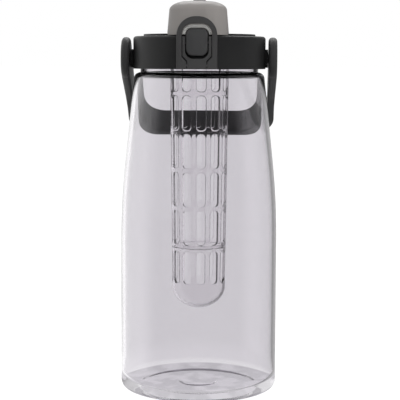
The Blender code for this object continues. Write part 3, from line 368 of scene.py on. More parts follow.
def node(tree, kind, inputs=None, **settings):
    """The outputs of a new node, with its inputs given by name or number."""
    made = tree.nodes.new("ShaderNode" + kind)
    for setting, value in settings.items():
        setattr(made, setting, value)
    for place, value in (inputs or {}).items():
        link(tree, value, made.inputs[place])
    return made.outputs


def noise(tree, scale, detail, stretch=(1, 1, 1)):
    """A noise pattern fixed to the piece, with scale in cells a metre."""
    place = node(tree, "TexCoord")["Object"]
    mapped = node(tree, "Mapping", {"Vector": place, "Scale": stretch})["Vector"]
    return node(tree, "TexNoise", {"Vector": mapped, "Scale": scale, "Detail": detail})["Fac"]


def ranged(tree, value, source, result, interpolation="LINEAR"):
    """A value taken from one range to another and held at its ends, each end a socket or a number."""
    names = ("Value", "From Min", "From Max", "To Min", "To Max")
    inputs = dict(zip(names, (value, *source, *result)))
    return node(tree, "MapRange", inputs, interpolation_type=interpolation)["Result"]


def spread(tree, pattern, low, high):
    """The pattern's middle range stretched from low to high."""
    return ranged(tree, pattern, NOISE_MIDDLE, (low, high))


def between(tree, value, low, high):
    """Nought up to low, one from high on, eased between the two."""
    return ranged(tree, value, (low, high), (0, 1), "SMOOTHSTEP")


def mixed(tree, share, first, second):
    """first where share is nought, second where it is one."""
    return ranged(tree, share, (0, 1), (first, second))


def blended(tree, share, first, second):
    """Like mixed, for colours. A mix node's colours are its inputs 6 and 7 and its output 2."""
    return node(tree, "Mix", {0: share, 6: first, 7: second}, data_type="RGBA")[2]


def maths(tree, operation, *values):
    return node(tree, "Math", dict(enumerate(values)), operation=operation)["Value"]


def vectors(tree, operation, *values):
    return node(tree, "VectorMath", dict(enumerate(values)), operation=operation)


def split(tree, vector):
    return node(tree, "SeparateXYZ", {"Vector": vector})


def relief(tree, shader, height, distance, strength):
    """Bump of the shader, with distance in metres."""
    inputs = {"Distance": distance, "Strength": strength, "Height": height}
    link(tree, node(tree, "Bump", inputs)["Normal"], shader.inputs["Normal"])


def moulded(name, colour, other, roughness, gloss, grain=GRAIN_SCALE):
    """Moulded plastic: a fine spark-eroded grain over slow changes of tone and gloss."""
    made, shader = surface(name, Specular_IOR_Level=gloss)
    tree = made.node_tree
    slow = noise(tree, TONE_SCALE, 2.0)
    fine = noise(tree, grain, 2.0)
    tone = blended(tree, spread(tree, slow, 0.0, 1.0), colour, other)
    uneven = maths(tree, "MULTIPLY_ADD", fine, GRAIN_ROUGHNESS, spread(tree, slow, *roughness))
    link(tree, tone, shader.inputs["Base Color"])
    link(tree, uneven, shader.inputs["Roughness"])
    relief(tree, shader, fine, GRAIN_DEPTH, GRAIN_STRENGTH)
    return made


def clear_plastic(name, shadow_tint, roughness, ripple):
    """Clear plastic that lets the lamps through, with the faint ripple of moulding."""
    made, shader = surface(name, Transmission_Weight=1.0)
    tree = made.node_tree
    slow = noise(tree, RIPPLE_SCALE, 1.0, RIPPLE_STRETCH)
    link(tree, spread(tree, slow, *roughness), shader.inputs["Roughness"])
    relief(tree, shader, slow, ripple, RIPPLE_STRENGTH)
    shadow = node(tree, "LightPath")["Is Shadow Ray"]
    through = node(tree, "BsdfTransparent", {"Color": shadow_tint})["BSDF"]
    mix = node(tree, "MixShader", {0: shadow, 1: shader.outputs["BSDF"], 2: through})
    link(tree, mix["Shader"], tree.nodes["Material Output"].inputs["Surface"])
    return made, tree, shader


def smoke_plastic():
    """The jug's plastic. Its foot bends light less and makes up for the fewer walls seen there; its
    underside has painted shade and painted dark reflections.
    """
    made, tree, shader = clear_plastic("smoke_clear", SMOKE_SHADOW, SMOKE_ROUGHNESS, SMOKE_RIPPLE)
    place = node(tree, "TexCoord")
    height = split(tree, place["Object"])["Z"]
    upright = maths(tree, "ABSOLUTE", split(tree, place["Normal"])["Z"])
    bend = mixed(tree, between(tree, height, *FOOT_BEND_SPAN), FOOT_BEND, SMOKE_BEND)
    level, low = between(tree, upright, *LEVEL_SPAN), between(tree, height, *FLOOR_SPAN)
    # Painted reflection: dark blotches over the underside's painted shade.
    blobs = between(tree, noise(tree, BLOB_SCALE, BLOB_DETAIL), *BLOB_SPAN)
    under = blended(tree, blobs, FOOT_PAINTED_REFLECTION, FOOT_PAINTED_SHADE)
    tint = blended(tree, maths(tree, "MULTIPLY", level, low), SMOKE_TINT, (1.0, 1.0, 1.0))
    tint = blended(tree, between(tree, height, *UNDERSIDE_SPAN), tint, under)
    link(tree, bend, shader.inputs["IOR"])
    link(tree, tint, shader.inputs["Base Color"])
    return made


def basket_plastic():
    """The infuser's plastic: painted shade on the slots' right sides, and its far wall bending light
    less.
    """
    made, tree, shader = clear_plastic("basket_clear", BASKET_SHADOW, BASKET_ROUGHNESS, BASKET_RIPPLE)
    place = node(tree, "TexCoord")
    parts = split(tree, place["Object"])
    near = between(tree, parts["Y"], *NEAR_SPAN)
    outwards = vectors(tree, "MULTIPLY", place["Object"], (1, 1, 0))["Vector"]
    outwards = vectors(tree, "NORMALIZE", outwards)["Vector"]
    facing = vectors(tree, "DOT_PRODUCT", outwards, place["Normal"])["Value"]
    # Painted shade: slot sides on the near wall that turn to the left, above the round end.
    dark = between(tree, maths(tree, "ABSOLUTE", facing), *SIDE_SPAN)
    above = between(tree, parts["Z"], *SLOT_SPAN)
    away = between(tree, split(tree, place["Normal"])["X"], *SHADED_SIDE_SPAN)
    for share in (above, away, near):
        dark = maths(tree, "MULTIPLY", dark, share)
    link(tree, mixed(tree, near, BASKET_FAR_BEND, BASKET_BEND), shader.inputs["IOR"])
    link(tree, blended(tree, dark, BASKET_TINT, SLOT_SIDE_PAINTED_SHADE), shader.inputs["Base Color"])
    return made


def brushed_steel(name):
    made, shader = surface(name, Metallic=1.0)
    tree = made.node_tree
    lines = noise(tree, BRUSH_SCALE, 2.0, BRUSH_STRETCH)
    tone = blended(tree, spread(tree, lines, 0.0, 1.0), STEEL_DARK, STEEL_LIGHT)
    link(tree, tone, shader.inputs["Base Color"])
    link(tree, spread(tree, lines, *STEEL_ROUGHNESS), shader.inputs["Roughness"])
    relief(tree, shader, lines, BRUSH_DEPTH, BRUSH_STRENGTH)
    return made


SMOKE = smoke_plastic()
BASKET = basket_plastic()
LID_DARK = moulded("lid_plastic", (0.0130, 0.0130, 0.0134), (0.0160, 0.0160, 0.0164), (0.42, 0.50), 0.25)
LATCH_DARK = moulded("latch_plastic", (0.036, 0.0355, 0.036), (0.041, 0.0405, 0.041), (0.36, 0.44), 0.30)
BUTTON_DARK = moulded("button_plastic", (0.036, 0.036, 0.037), (0.041, 0.041, 0.042), (0.26, 0.34), 0.50)
HANDLE_DARK = moulded("handle_plastic", (0.027, 0.027, 0.028), (0.032, 0.032, 0.033), (0.40, 0.50), 0.30)
GREY = moulded("grey_plastic", (0.205, 0.192, 0.183), (0.226, 0.212, 0.202), (0.38, 0.48), 0.40)
# The lip round the button is a lighter grey, made lighter still as painted light against the shade of
# the lock loop in front.
LIP_GREY_AND_PAINTED_LIGHT = moulded("lip_plastic_and_painted_light", (0.480, 0.475, 0.460), (0.510, 0.505, 0.490), (0.38, 0.48), 0.40)
SILICONE = moulded("silicone", (0.56, 0.56, 0.54), (0.64, 0.64, 0.62), (0.55, 0.68), 0.30, 1800)
STEEL = brushed_steel("steel")


# Outlines
def arc(centre, radius, start, end, count):
    """Points round a centre, from one angle to another in degrees."""
    return [
        (centre[0] + radius * cos(turn), centre[1] + radius * sin(turn))
        for turn in np.linspace(radians(start), radians(end), count)
    ]


def ramp(start, end, count):
    """Points of an S-shaped slope between two profile points."""
    made = []
    for share in np.linspace(0, 1, count):
        rise = (1 - cos(pi * share)) / 2
        made.append((start[0] + (end[0] - start[0]) * share, start[1] + (end[1] - start[1]) * rise))
    return made


def curved(start, middle, end, count):
    """Points of a curve from start to end that bends towards middle."""
    start, middle, end = Vector(start), Vector(middle), Vector(end)
    made = []
    for t in np.linspace(0, 1, count).tolist():
        place = (1 - t) ** 2 * start + 2 * t * (1 - t) * middle + t**2 * end
        made.append((place.x, place.y))
    return made


def eased(outline, radius, closed=True):
    """The outline with each sharp corner rounded by about radius."""
    made = []
    last = len(outline) - 1
    for i, corner in enumerate(outline):
        middle = Vector(corner)
        before = Vector(outline[i - 1]) - middle
        after = Vector(outline[(i + 1) % len(outline)]) - middle
        at_end = not closed and i in (0, last)
        if at_end or 180 - degrees(before.angle(after, 0)) < EASED_ANGLE:
            made.append(corner)
            continue
        reach = min(radius, EASED_SHARE * before.length, EASED_SHARE * after.length)
        start = middle + before.normalized() * reach
        end = middle + after.normalized() * reach
        made += curved(start, middle, end, EASED_POINTS)
    return made


def stepped(radius, height, *changes):
    """Corners of a profile that changes its radius, then its height, and so on in turn."""
    corners = [(radius, height)]
    for i, value in enumerate(changes):
        radius, height = (radius, value) if i % 2 else (value, height)
        corners.append((radius, height))
    return corners


def mirrored(half):
    """A whole outline from its right half."""
    return half + [(-x, z) for x, z in half[::-1]]


def rounded_rectangle(low, high, corner, count):
    """A rectangle between two corners, rounded, anticlockwise from its right."""
    left, right = low[0] + corner, high[0] - corner
    bottom, top = low[1] + corner, high[1] - corner
    outline = []
    for i, centre in enumerate(((right, top), (left, top), (left, bottom), (right, bottom))):
        outline += arc(centre, corner, 90 * i, 90 * i + 90, count)
    return outline


# Meshes
def mesh_from(name, fill):
    bm = bmesh.new()
    fill(bm)
    mesh = bpy.data.meshes.new(name)
    bm.to_mesh(mesh)
    bm.free()
    return mesh


def piece(name, mesh, finish, sharp=SHARP_ANGLE):
    """An object with smooth faces, its edges sharp above an angle in degrees."""
    obj = bpy.data.objects.new(name, mesh)
    mesh.shade_smooth()
    mesh.set_sharp_from_angle(angle=radians(sharp))
    mesh.materials.clear()
    mesh.materials.append(finish)
    bpy.context.scene.collection.objects.link(obj)
    return obj


def bridge(bm, loops):
    """Faces between successive loops of vertices, where a loop of one vertex is a pole."""
    for low, high in zip(loops, loops[1:]):
        count = max(len(low), len(high))
        for i in range(count):
            after = (i + 1) % count
            corners = [low[i % len(low)], low[after % len(low)]]
            corners += [high[after % len(high)], high[i % len(high)]]
            bm.faces.new(list(dict.fromkeys(corners)))


def skinned(name, rings, finish, closed=False, sharp=SHARP_ANGLE):
    """An object with faces between successive rings of points."""

    def fill(bm):
        loops = [[bm.verts.new(place) for place in ring] for ring in rings]
        bridge(bm, loops + loops[:1] if closed else loops)
        bmesh.ops.recalc_face_normals(bm, faces=bm.faces)

    return piece(name, mesh_from(name, fill), finish, sharp)


def turned(
    name, profile, finish, steps=ROUND_STEPS, ring=False, middle_y=0, bulge=None, sharp=SHARP_ANGLE
):
    """A profile turned about an upright axis. bulge gives what to add to a point's radius."""
    rings = []
    for radius, height in profile:
        if radius < POLE_RADIUS:
            rings.append([(0, middle_y, height)])
            continue
        points = []
        for turn in (2 * pi * step / steps for step in range(steps)):
            reach = radius + (bulge(turn, radius, height) if bulge else 0)
            points.append((reach * cos(turn), middle_y + reach * sin(turn), height))
        rings.append(points)
    return skinned(name, rings, finish, ring, sharp)


def rod(name, radius, start, end, finish, steps=SMALL_STEPS):
    """A round bar between two points, to join or cut with."""
    start, end = Vector(start), Vector(end)

    def fill(bm):
        sizes = {"radius1": radius, "radius2": radius, "depth": (end - start).length}
        bmesh.ops.create_cone(bm, cap_ends=True, segments=steps, **sizes)

    obj = piece(name, mesh_from(name, fill), finish)
    obj.location = (start + end) / 2
    obj.rotation_euler = (end - start).to_track_quat("Z", "Y").to_euler()
    return obj


def upright_rod(name, radius, y, low, high, finish, steps=SMALL_STEPS):
    return rod(name, radius, (0, y, low), (0, y, high), finish, steps)


def cross_rod(name, radius, near, far, place, finish):
    """A rod along X from near to far, its place given in y and z."""
    return rod(name, radius, (near, *place), (far, *place), finish)


def block(name, low, high, finish):
    """A box between two corners, to cut with."""
    low, high = Vector(low), Vector(high)

    def fill(bm):
        bmesh.ops.create_cube(bm, size=1)
        bmesh.ops.scale(bm, vec=high - low, verts=bm.verts)

    obj = piece(name, mesh_from(name, fill), finish)
    obj.location = (low + high) / 2
    return obj


def weld(bm, distance):
    bmesh.ops.remove_doubles(bm, verts=bm.verts, dist=distance)
    bmesh.ops.recalc_face_normals(bm, faces=bm.faces)


def plate(name, outline, near, far, plane, finish, edge):
    """A flat outline given depth from near to far across its plane, with its edges rounded by edge."""
    curve = bpy.data.curves.new(name, "CURVE")
    curve.resolution_u = 1
    curve.dimensions = "2D"
    curve.fill_mode = "BOTH"
    curve.extrude = abs(far - near) / 2 - edge
    curve.bevel_depth = edge
    curve.bevel_resolution = PLATE_ROUNDING
    curve.offset = -edge
    spline = curve.splines.new("POLY")
    spline.points.add(len(outline) - 1)
    for point, (x, y) in zip(spline.points, outline):
        point.co = (x, y, 0, 1)
    spline.use_cyclic_u = True
    holder = bpy.data.objects.new(name, curve)
    bpy.context.scene.collection.objects.link(holder)
    graph = bpy.context.evaluated_depsgraph_get()
    mesh = bpy.data.meshes.new_from_object(holder.evaluated_get(graph))
    bpy.data.objects.remove(holder)
    bpy.data.curves.remove(curve)
    bm = bmesh.new()
    bm.from_mesh(mesh)
    weld(bm, PLATE_WELD)
    bm.to_mesh(mesh)
    bm.free()
    obj = piece(name, mesh, finish)
    obj.rotation_euler = plane
    middle = (near + far) / 2
    obj.location = (middle, 0, 0) if plane == SIDE_PLANE else (0, middle, 0)
    return obj


def settled(obj):
    """The object with its modifiers and place baked into its mesh."""
    bpy.context.view_layer.update()
    graph = bpy.context.evaluated_depsgraph_get()
    mesh = bpy.data.meshes.new_from_object(obj.evaluated_get(graph))
    mesh.transform(obj.matrix_world)
    obj.modifiers.clear()
    obj.data = mesh
    obj.matrix_world = Matrix.Identity(4)
    return obj


def combined(obj, operation, *others):
    for other in others:
        modifier = obj.modifiers.new(operation.lower(), "BOOLEAN")
        modifier.operation = operation
        modifier.solver = "EXACT"
        modifier.object = other
    settled(obj)
    for other in others:
        bpy.data.objects.remove(other)


def stand_for(obj, node_name, body):
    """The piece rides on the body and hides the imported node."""
    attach(obj, body)
    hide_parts(node_name)


# Jug body
def side_profile(inset):
    """The body's side from shoulder to heel, moved inwards by inset."""
    high, low = TAPER_BOTTOM + TAPER_BLEND, TAPER_BOTTOM - TAPER_BLEND
    share = TAPER_BLEND / (SHOULDER_HEIGHT - TAPER_BOTTOM)
    blend_radius = BODY_RADIUS + (SHOULDER_RADIUS - BODY_RADIUS) * share
    blend = curved((blend_radius, high), (BODY_RADIUS, TAPER_BOTTOM), (BODY_RADIUS, low), 28)
    shoulder = arc((NECK_RADIUS, SHOULDER_HEIGHT), SHOULDER_ROUND - inset, 90, 0, 14)
    return shoulder + [(radius - inset, height) for radius, height in blend]


def bottle_profile():
    floor_centre = (BODY_INNER_RADIUS - FLOOR_CORNER, FLOOR_HEIGHT + FLOOR_CORNER)
    inside = [(0, FLOOR_HEIGHT)]
    inside += arc(floor_centre, FLOOR_CORNER, -90, 0, 16)
    inside += side_profile(WALL)[::-1]
    inside.append((MOUTH_RADIUS, SHOULDER_HEIGHT + SHOULDER_ROUND - WALL + RIM_ROUND))
    rim_inner = (MOUTH_RADIUS + RIM_ROUND, RIM_HEIGHT - RIM_ROUND)
    rim_outer = (NECK_RADIUS - RIM_ROUND, RIM_HEIGHT - RIM_ROUND)
    rim = arc(rim_inner, RIM_ROUND, 180, 90, 6) + arc(rim_outer, RIM_ROUND, 90, 0, 6)
    neck_foot = SHOULDER_HEIGHT + SHOULDER_ROUND
    neck = [(NECK_RADIUS, z) for z in np.linspace(rim_outer[1], neck_foot, 44)[1:-1]]
    heel_centre = (BODY_RADIUS - HEEL_RADIUS, HEEL_RADIUS)
    foot_inner = heel_centre[0] - FOOT_WIDTH
    pad_edge = CENTRE_PAD_RADIUS + UNDERSIDE_SLOPE
    outside = side_profile(0)
    outside += arc(heel_centre, HEEL_RADIUS, 0, -90, 16)
    outside += ramp((foot_inner, 0), (foot_inner - UNDERSIDE_SLOPE, UNDERSIDE_RISE), 12)
    outside += ramp((pad_edge, UNDERSIDE_RISE), (CENTRE_PAD_RADIUS, 0), 12)
    outside.append((0, 0))
    return inside + rim + neck + outside


def thread_height(turn, height, bottom):
    """How far the thread stands out of its wall at this turn and height."""
    stands = 0.0
    for start in range(THREAD_STARTS):
        along = (turn - 2 * pi * start / THREAD_STARTS) % (2 * pi)
        if along > THREAD_TURN:
            continue
        away = height - bottom - THREAD_LEAD * along / (2 * pi)
        if abs(away) >= THREAD_DEPTH:
            continue
        fade = min(1.0, along / THREAD_FADE, (THREAD_TURN - along) / THREAD_FADE)
        stands = max(stands, fade * sqrt(THREAD_DEPTH**2 - away**2))
    return stands


def neck_bulge(turn, radius, height):
    return thread_height(turn, height, THREAD_BOTTOM) if abs(radius - NECK_RADIUS) < 1e-6 else 0


def make_body():
    profile, sharp = bottle_profile(), CLEAR_SHARP_ANGLE
    body = turned("jug_body", profile, SMOKE, BODY_STEPS, bulge=neck_bulge, sharp=sharp)
    stand_for(body, "bottle", "jug")


# Lid
def collar_profile():
    inner_rows = np.linspace(COLLAR_BOTTOM + RIM_ROUND, LIP_UNDERSIDE, 40)
    top = arc((COLLAR_RADIUS - COLLAR_ROUND, COLLAR_TOP - COLLAR_ROUND), COLLAR_ROUND, 90, 0, 10)
    outside = [(LIP_HOLE, COLLAR_TOP - FIT), (LIP_HOLE + FIT, COLLAR_TOP), *top]
    foot = [(COLLAR_RADIUS, COLLAR_BOTTOM), (COLLAR_INNER, COLLAR_BOTTOM)]
    inside = [(COLLAR_INNER, z) for z in inner_rows]
    return outside + eased(foot, SOFT_EDGE, closed=False) + inside + [(LIP_HOLE, LIP_UNDERSIDE)]


def collar_bulge(turn, radius, height):
    if abs(radius - COLLAR_INNER) > 1e-6 or height < COLLAR_BOTTOM + RIM_ROUND:
        return 0
    return -thread_height(turn, height, THREAD_BOTTOM - THREAD_DROP)


def make_lid_ring():
    ring = turned("lid_ring", collar_profile(), LID_DARK, BODY_STEPS, ring=True, bulge=collar_bulge)
    root, deep = COLLAR_RADIUS - COLLAR_WALL / 2, BOSS_END - PIN_DEPTH - FIT
    for sign in (1, -1):
        boss = cross_rod("boss", BOSS_RADIUS, sign * root, sign * BOSS_END, PIVOT, LID_DARK)
        combined(ring, "UNION", boss)
        past = sign * (BOSS_END + FIT)
        bore = cross_rod("bore", PIVOT_PIN_RADIUS + RUNNING, sign * deep, past, PIVOT, LID_DARK)
        combined(ring, "DIFFERENCE", bore)
    stand_for(ring, "lid_collar", "lid")


def deck_profile():
    """Out along the deck's top, down over its flange, then under its rim and round the socket."""
    under_rim, socket_outer = DECK_RADIUS - DECK_RIM_WALL, SOCKET_RADIUS + SOCKET_WALL
    steps = (0, DECK_TOP, DECK_RADIUS, FLANGE_TOP, FLANGE_RADIUS, FLANGE_BOTTOM, under_rim)
    socket_foot = DECK_UNDERSIDE - SOCKET_DEPTH
    steps += (DECK_UNDERSIDE, socket_outer, socket_foot, SOCKET_RADIUS, DECK_UNDERSIDE, 0)
    return eased(stepped(*steps), DECK_EDGE, closed=False)


def hinge_lug_outline():
    foot = DECK_TOP - DECK_THICKNESS / 2
    top = arc((HINGE_Y, HINGE_Z), KNUCKLE_RADIUS, 0, 180, 24)
    return [(HINGE_Y + KNUCKLE_RADIUS, foot), *top, (HINGE_Y - KNUCKLE_RADIUS, foot)]


def hinge_bore():
    reach = LUG_INNER_X + 2 * LUG_WIDTH
    return cross_rod("bore", HINGE_PIN_RADIUS + RUNNING, -reach, reach, (HINGE_Y, HINGE_Z), LID_DARK)


def make_deck():
    deck = turned("lid_top_plate", deck_profile(), LID_DARK)
    for sign in (1, -1):
        near, far = sign * LUG_INNER_X, sign * (LUG_INNER_X + LUG_WIDTH)
        lug = plate("lug", hinge_lug_outline(), near, far, SIDE_PLANE, LID_DARK, PLATE_EDGE)
        combined(deck, "UNION", lug)
    low, high = DECK_UNDERSIDE - DECK_THICKNESS, DECK_TOP + DECK_THICKNESS
    spout_hole = upright_rod("hole", SPOUT_RADIUS, SPOUT_Y, low, high, LID_DARK)
    vent_hole = upright_rod("hole", VENT_HOLE, VENT_Y, low, high, LID_DARK)
    combined(deck, "DIFFERENCE", spout_hole, vent_hole, hinge_bore())
    stand_for(deck, "lid_deck", "lid")


def make_seals():
    outer = COLLAR_INNER - FIT
    inner = outer - GASKET_WIDTH
    corners = stepped(inner, GASKET_TOP, outer, GASKET_TOP - GASKET_THICKNESS, inner)
    gasket = turned("rim_gasket", eased(corners, SOFT_EDGE), SILICONE, ring=True)
    stand_for(gasket, "lid_gasket", "lid")
    half = O_RING_THICKNESS / 2
    centre = (INFUSER_COLLAR_RADIUS - half, INFUSER_COLLAR_TOP - O_RING_DROP)
    ring = turned("infuser_seal", arc(centre, half, 180, -180, 17)[:-1], SILICONE, ring=True)
    stand_for(ring, "infuser_o_ring", "infuser")
    base, stem = DECK_TOP + FIT, VENT_HOLE - FIT
    corners = stepped(0, base + VENT_HEAD_THICKNESS, VENT_HEAD, base, stem, DECK_UNDERSIDE, 0)
    profile = eased(corners, SOFT_EDGE, closed=False)
    vent = turned("air_vent", profile, SILICONE, SMALL_STEPS, middle_y=VENT_Y)
    stand_for(vent, "vent_valve", "lid")


def make_spout():
    neck, flange = SPOUT_RADIUS - FIT, SPOUT_RADIUS + SPOUT_FLANGE
    base = DECK_TOP + FIT
    steps = (SPOUT_BORE, SPOUT_TOP, neck, base + SPOUT_FLANGE_THICKNESS, flange, base, neck)
    corners = stepped(*steps, DECK_UNDERSIDE, SPOUT_BORE)
    profile = eased(corners, SPOUT_EDGE)
    spout = turned("pouring_spout", profile, LID_DARK, SMALL_STEPS, ring=True, middle_y=SPOUT_Y)
    stand_for(spout, "spout", "lid")
    radius, low = SPOUT_BORE - PLUG_PLAY, PLUG_FLANGE_BOTTOM - PLUG_REACH
    top, flange = PLUG_FLANGE_BOTTOM + PLUG_FLANGE_THICKNESS, SPOUT_BORE + PLUG_FLANGE
    corners = stepped(0, top, flange, PLUG_FLANGE_BOTTOM, radius) + [(radius - PLUG_PLAY, low), (0, low)]
    profile = eased(corners, SOFT_EDGE, closed=False)
    plug = turned("spout_stopper", profile, SILICONE, SMALL_STEPS, middle_y=SPOUT_Y)
    stand_for(plug, "spout_plug", "flip_cap")


# Flip cap
def cap_ring(inset, height):
    """The cap's outline moved inwards by inset, narrowing to its back, at one height."""
    half_width, front, back = CAP_HALF_WIDTH - inset, CAP_FRONT_Y + inset, CAP_BACK_Y - inset
    corner = CAP_CORNER - inset
    outline = rounded_rectangle((-half_width, front), (half_width, back), corner, CAP_CORNER_POINTS)
    narrowing = (1 - CAP_BACK_HALF_WIDTH / CAP_HALF_WIDTH) / (back - front)
    return [(x * (1 - (y - front) * narrowing), y, height) for x, y in outline]


def cap_rings(offset):
    """Rings of the cap's dome moved inwards by offset, from its open edge to its crown."""
    edge_width, edge_height = CAP_EDGE_WIDTH - offset, CAP_EDGE_HEIGHT - offset
    top = CAP_TOP - offset
    side_top = top - CAP_CROWN - edge_height
    draft = CAP_HALF_WIDTH - CAP_TOP_HALF_WIDTH
    rings = [cap_ring(offset, CAP_LIP_BOTTOM)]
    for turn in np.linspace(0, pi / 2, 20):
        inset = draft + edge_width * (1 - cos(turn))
        rings.append(cap_ring(inset + offset, side_top + edge_height * sin(turn)))
    middle_y = (CAP_FRONT_Y + CAP_BACK_Y) / 2
    rim = rings[-1]
    for share in CROWN_SHARES:
        height = top - CAP_CROWN * share**2
        rings.append([(x * share, middle_y + (y - middle_y) * share, height) for x, y, _ in rim])
    return rings + [[(0, middle_y, top)]]


def arch_outline(half_width, bottom, top, corner, count=18):
    """A slot outline with a flat bottom and a rounded top, in x and z."""
    centre = (half_width - corner, top - corner)
    return mirrored([(half_width, bottom), *arc(centre, corner, 0, 90, count)])


def lip_outline():
    outer = arch_outline(HOUSING_HALF_WIDTH, CAP_LIP_BOTTOM, LIP_TOP, LIP_CORNER)
    top, corner = LIP_TOP - LIP_THICKNESS, LIP_CORNER - LIP_THICKNESS
    return outer + arch_outline(POCKET_HALF_WIDTH, CAP_LIP_BOTTOM, top, corner)[::-1]


def tab_outline(level):
    """The thumb tab on the cap's top, in y and z, from level up."""
    ahead, behind = TAB_Y - TAB_LENGTH / 2, TAB_Y + TAB_LENGTH / 2
    return [
        (ahead, level),
        (behind, level),
        *arc((behind - TAB_RISE, CAP_TOP), TAB_RISE, 0, 90, 12),
        *arc((ahead + TAB_RISE, CAP_TOP), TAB_RISE, 90, 180, 12),
    ]


def knuckle_outline():
    """A knuckle round the hinge axis with a web to the cap's back wall, in y and z."""
    root = CAP_BACK_Y - CAP_WALL / 2
    low = CAP_BOTTOM + FIT
    side = sqrt(KNUCKLE_RADIUS**2 - (HINGE_Z - low) ** 2)
    start = -90 + degrees(atan2(side, HINGE_Z - low))
    barrel = arc((HINGE_Y, HINGE_Z), KNUCKLE_RADIUS, start, 90, 24)
    return [(root, low), *barrel, (root, HINGE_Z + KNUCKLE_RADIUS)]


def make_cap():
    cap = skinned("cap_shell", cap_rings(CAP_WALL)[::-1] + cap_rings(0), GREY)
    level = CAP_TOP - CAP_WALL / 2 - CAP_CROWN / 2
    foot = PLUG_FLANGE_BOTTOM + PLUG_FLANGE_THICKNESS + FIT
    post = upright_rod("post", PLUG_POST, SPOUT_Y, foot, level, GREY)
    embedded = CAP_FRONT_Y + CAP_WALL / 2
    # The lip's colour is partly painted light, against the lock loop's shade.
    lip = plate("cap_lip", lip_outline(), embedded, -LIP_FRONT, FRONT_PLANE, LIP_GREY_AND_PAINTED_LIGHT, LIP_EDGE)
    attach(settled(lip), "flip_cap")
    tab = plate("tab", tab_outline(level), -TAB_WIDTH / 2, TAB_WIDTH / 2, SIDE_PLANE, GREY, TAB_EDGE)
    room = upright_rod("room", LIP_HOLE, 0, COLLAR_TOP - CAP_WALL, CAP_BOTTOM, GREY, BODY_STEPS)
    combined(cap, "DIFFERENCE", room)
    combined(cap, "UNION", post, tab)
    reach = LUG_INNER_X - FIT
    knuckle = plate("knuckle", knuckle_outline(), -reach, reach, SIDE_PLANE, GREY, PLATE_EDGE)
    combined(cap, "UNION", knuckle)
    side = TOOTH_HALF_WIDTH + LATCH_PLAY
    low = (-side, CAP_FRONT_Y - CAP_WALL, CAP_LIP_BOTTOM + WINDOW_SILL)
    high = (side, CAP_FRONT_Y + 2 * CAP_WALL, LEVER_TOP + LATCH_PLAY)
    combined(cap, "DIFFERENCE", hinge_bore(), block("window", low, high, GREY))
    cap.data.set_sharp_from_angle(angle=radians(SHARP_ANGLE))
    stand_for(cap, "flip_cap", "flip_cap")


# Latch
def housing_outline():
    """The frame's tray round the button, its chamfered sides and its stem."""
    corner = (POCKET_HALF_WIDTH - POCKET_CORNER, POCKET_BOTTOM + POCKET_CORNER)
    half = [
        *arc(corner, POCKET_CORNER, 270, 360, 16),
        (POCKET_HALF_WIDTH, HOUSING_TOP),
        (HOUSING_HALF_WIDTH, HOUSING_TOP),
        (HOUSING_HALF_WIDTH, HOUSING_CHAMFER_TOP),
        (STEM_HALF_WIDTH, HOUSING_CHAMFER_BOTTOM),
        (STEM_HALF_WIDTH, STEM_BOTTOM),
    ]
    return mirrored(half)


def latch_bore(radius, place, reach):
    return cross_rod("bore", radius + RUNNING, -reach, reach, place, LATCH_DARK)


def make_frame():
    outline, depth = housing_outline(), -COLLAR_RADIUS + COLLAR_WALL
    housing = plate("latch_frame", outline, -HOUSING_FRONT, depth, FRONT_PLANE, LATCH_DARK, PLATE_EDGE)
    low, high = COLLAR_BOTTOM - COLLAR_WALL, COLLAR_TOP + COLLAR_WALL
    room = upright_rod("room", COLLAR_RADIUS + FIT, 0, low, high, LATCH_DARK, 2 * BODY_STEPS)
    latch = latch_bore(LATCH_PIN_RADIUS, LATCH_AXIS, 2 * HOUSING_HALF_WIDTH)
    lock = latch_bore(LOCK_PIN_RADIUS, LOCK_AXIS, 2 * HOUSING_HALF_WIDTH)
    combined(housing, "DIFFERENCE", room, latch, lock)
    stand_for(housing, "latch_housing", "lid")


def pad_outline(inset):
    """The button's outline moved inwards by inset: wide round corners below, smaller ones above."""
    lower = POCKET_CORNER - LATCH_PLAY
    upper = LIP_CORNER - HOUSING_RAIL - LATCH_PLAY
    low = (BUTTON_HALF_WIDTH - lower, BUTTON_BOTTOM + lower)
    high = (BUTTON_HALF_WIDTH - upper, BUTTON_TOP - upper)
    return mirrored([*arc(low, lower - inset, 270, 360, 20), *arc(high, upper - inset, 0, 90, 20)])


def make_button():
    """A pillow-shaped pad: rounded edges, then a shallow dome to its middle."""
    back = -(LEVER_FRONT + FIT)
    front = back - BUTTON_THICKNESS - BUTTON_CROWN
    middle_z = (BUTTON_TOP + BUTTON_BOTTOM) / 2
    rim = front + BUTTON_DOME + BUTTON_EDGE
    rings = [[(0, back, middle_z)], [(x, back, z) for x, z in pad_outline(0)]]
    for turn in np.linspace(0, pi / 2, 8):
        outline = pad_outline(BUTTON_EDGE * (1 - cos(turn)))
        rings.append([(x, rim - BUTTON_EDGE * sin(turn), z) for x, z in outline])
    face = pad_outline(BUTTON_EDGE)
    for share in DOME_SHARES:
        depth = front + BUTTON_DOME * share**2
        rings.append([(x * share, depth, middle_z + (z - middle_z) * share) for x, z in face])
    rings.append([(0, front, middle_z)])
    button = skinned("push_pad", rings, BUTTON_DARK)
    stand_for(button, "latch_button", "latch")


def loop_outline():
    """An arch with two legs that close in on the frame's stem."""
    corner = (LOOP_OPENING - LOOP_OPENING_CORNER, LOOP_OPENING_TOP - LOOP_OPENING_CORNER)
    half = [
        (LOOP_LEG_INNER, STEM_BOTTOM),
        (LOOP_LEG_INNER, HOUSING_CHAMFER_BOTTOM - LOOP_CHAMFER_DROP),
        (LOOP_OPENING, HOUSING_CHAMFER_TOP - LOOP_CHAMFER_DROP),
        *arc(corner, LOOP_OPENING_CORNER, 0, 90, 18),
    ]
    outer = arch_outline(LOOP_HALF_WIDTH, STEM_BOTTOM, LOOP_TOP, LOOP_CORNER, 28)
    return outer + mirrored(half)[::-1]


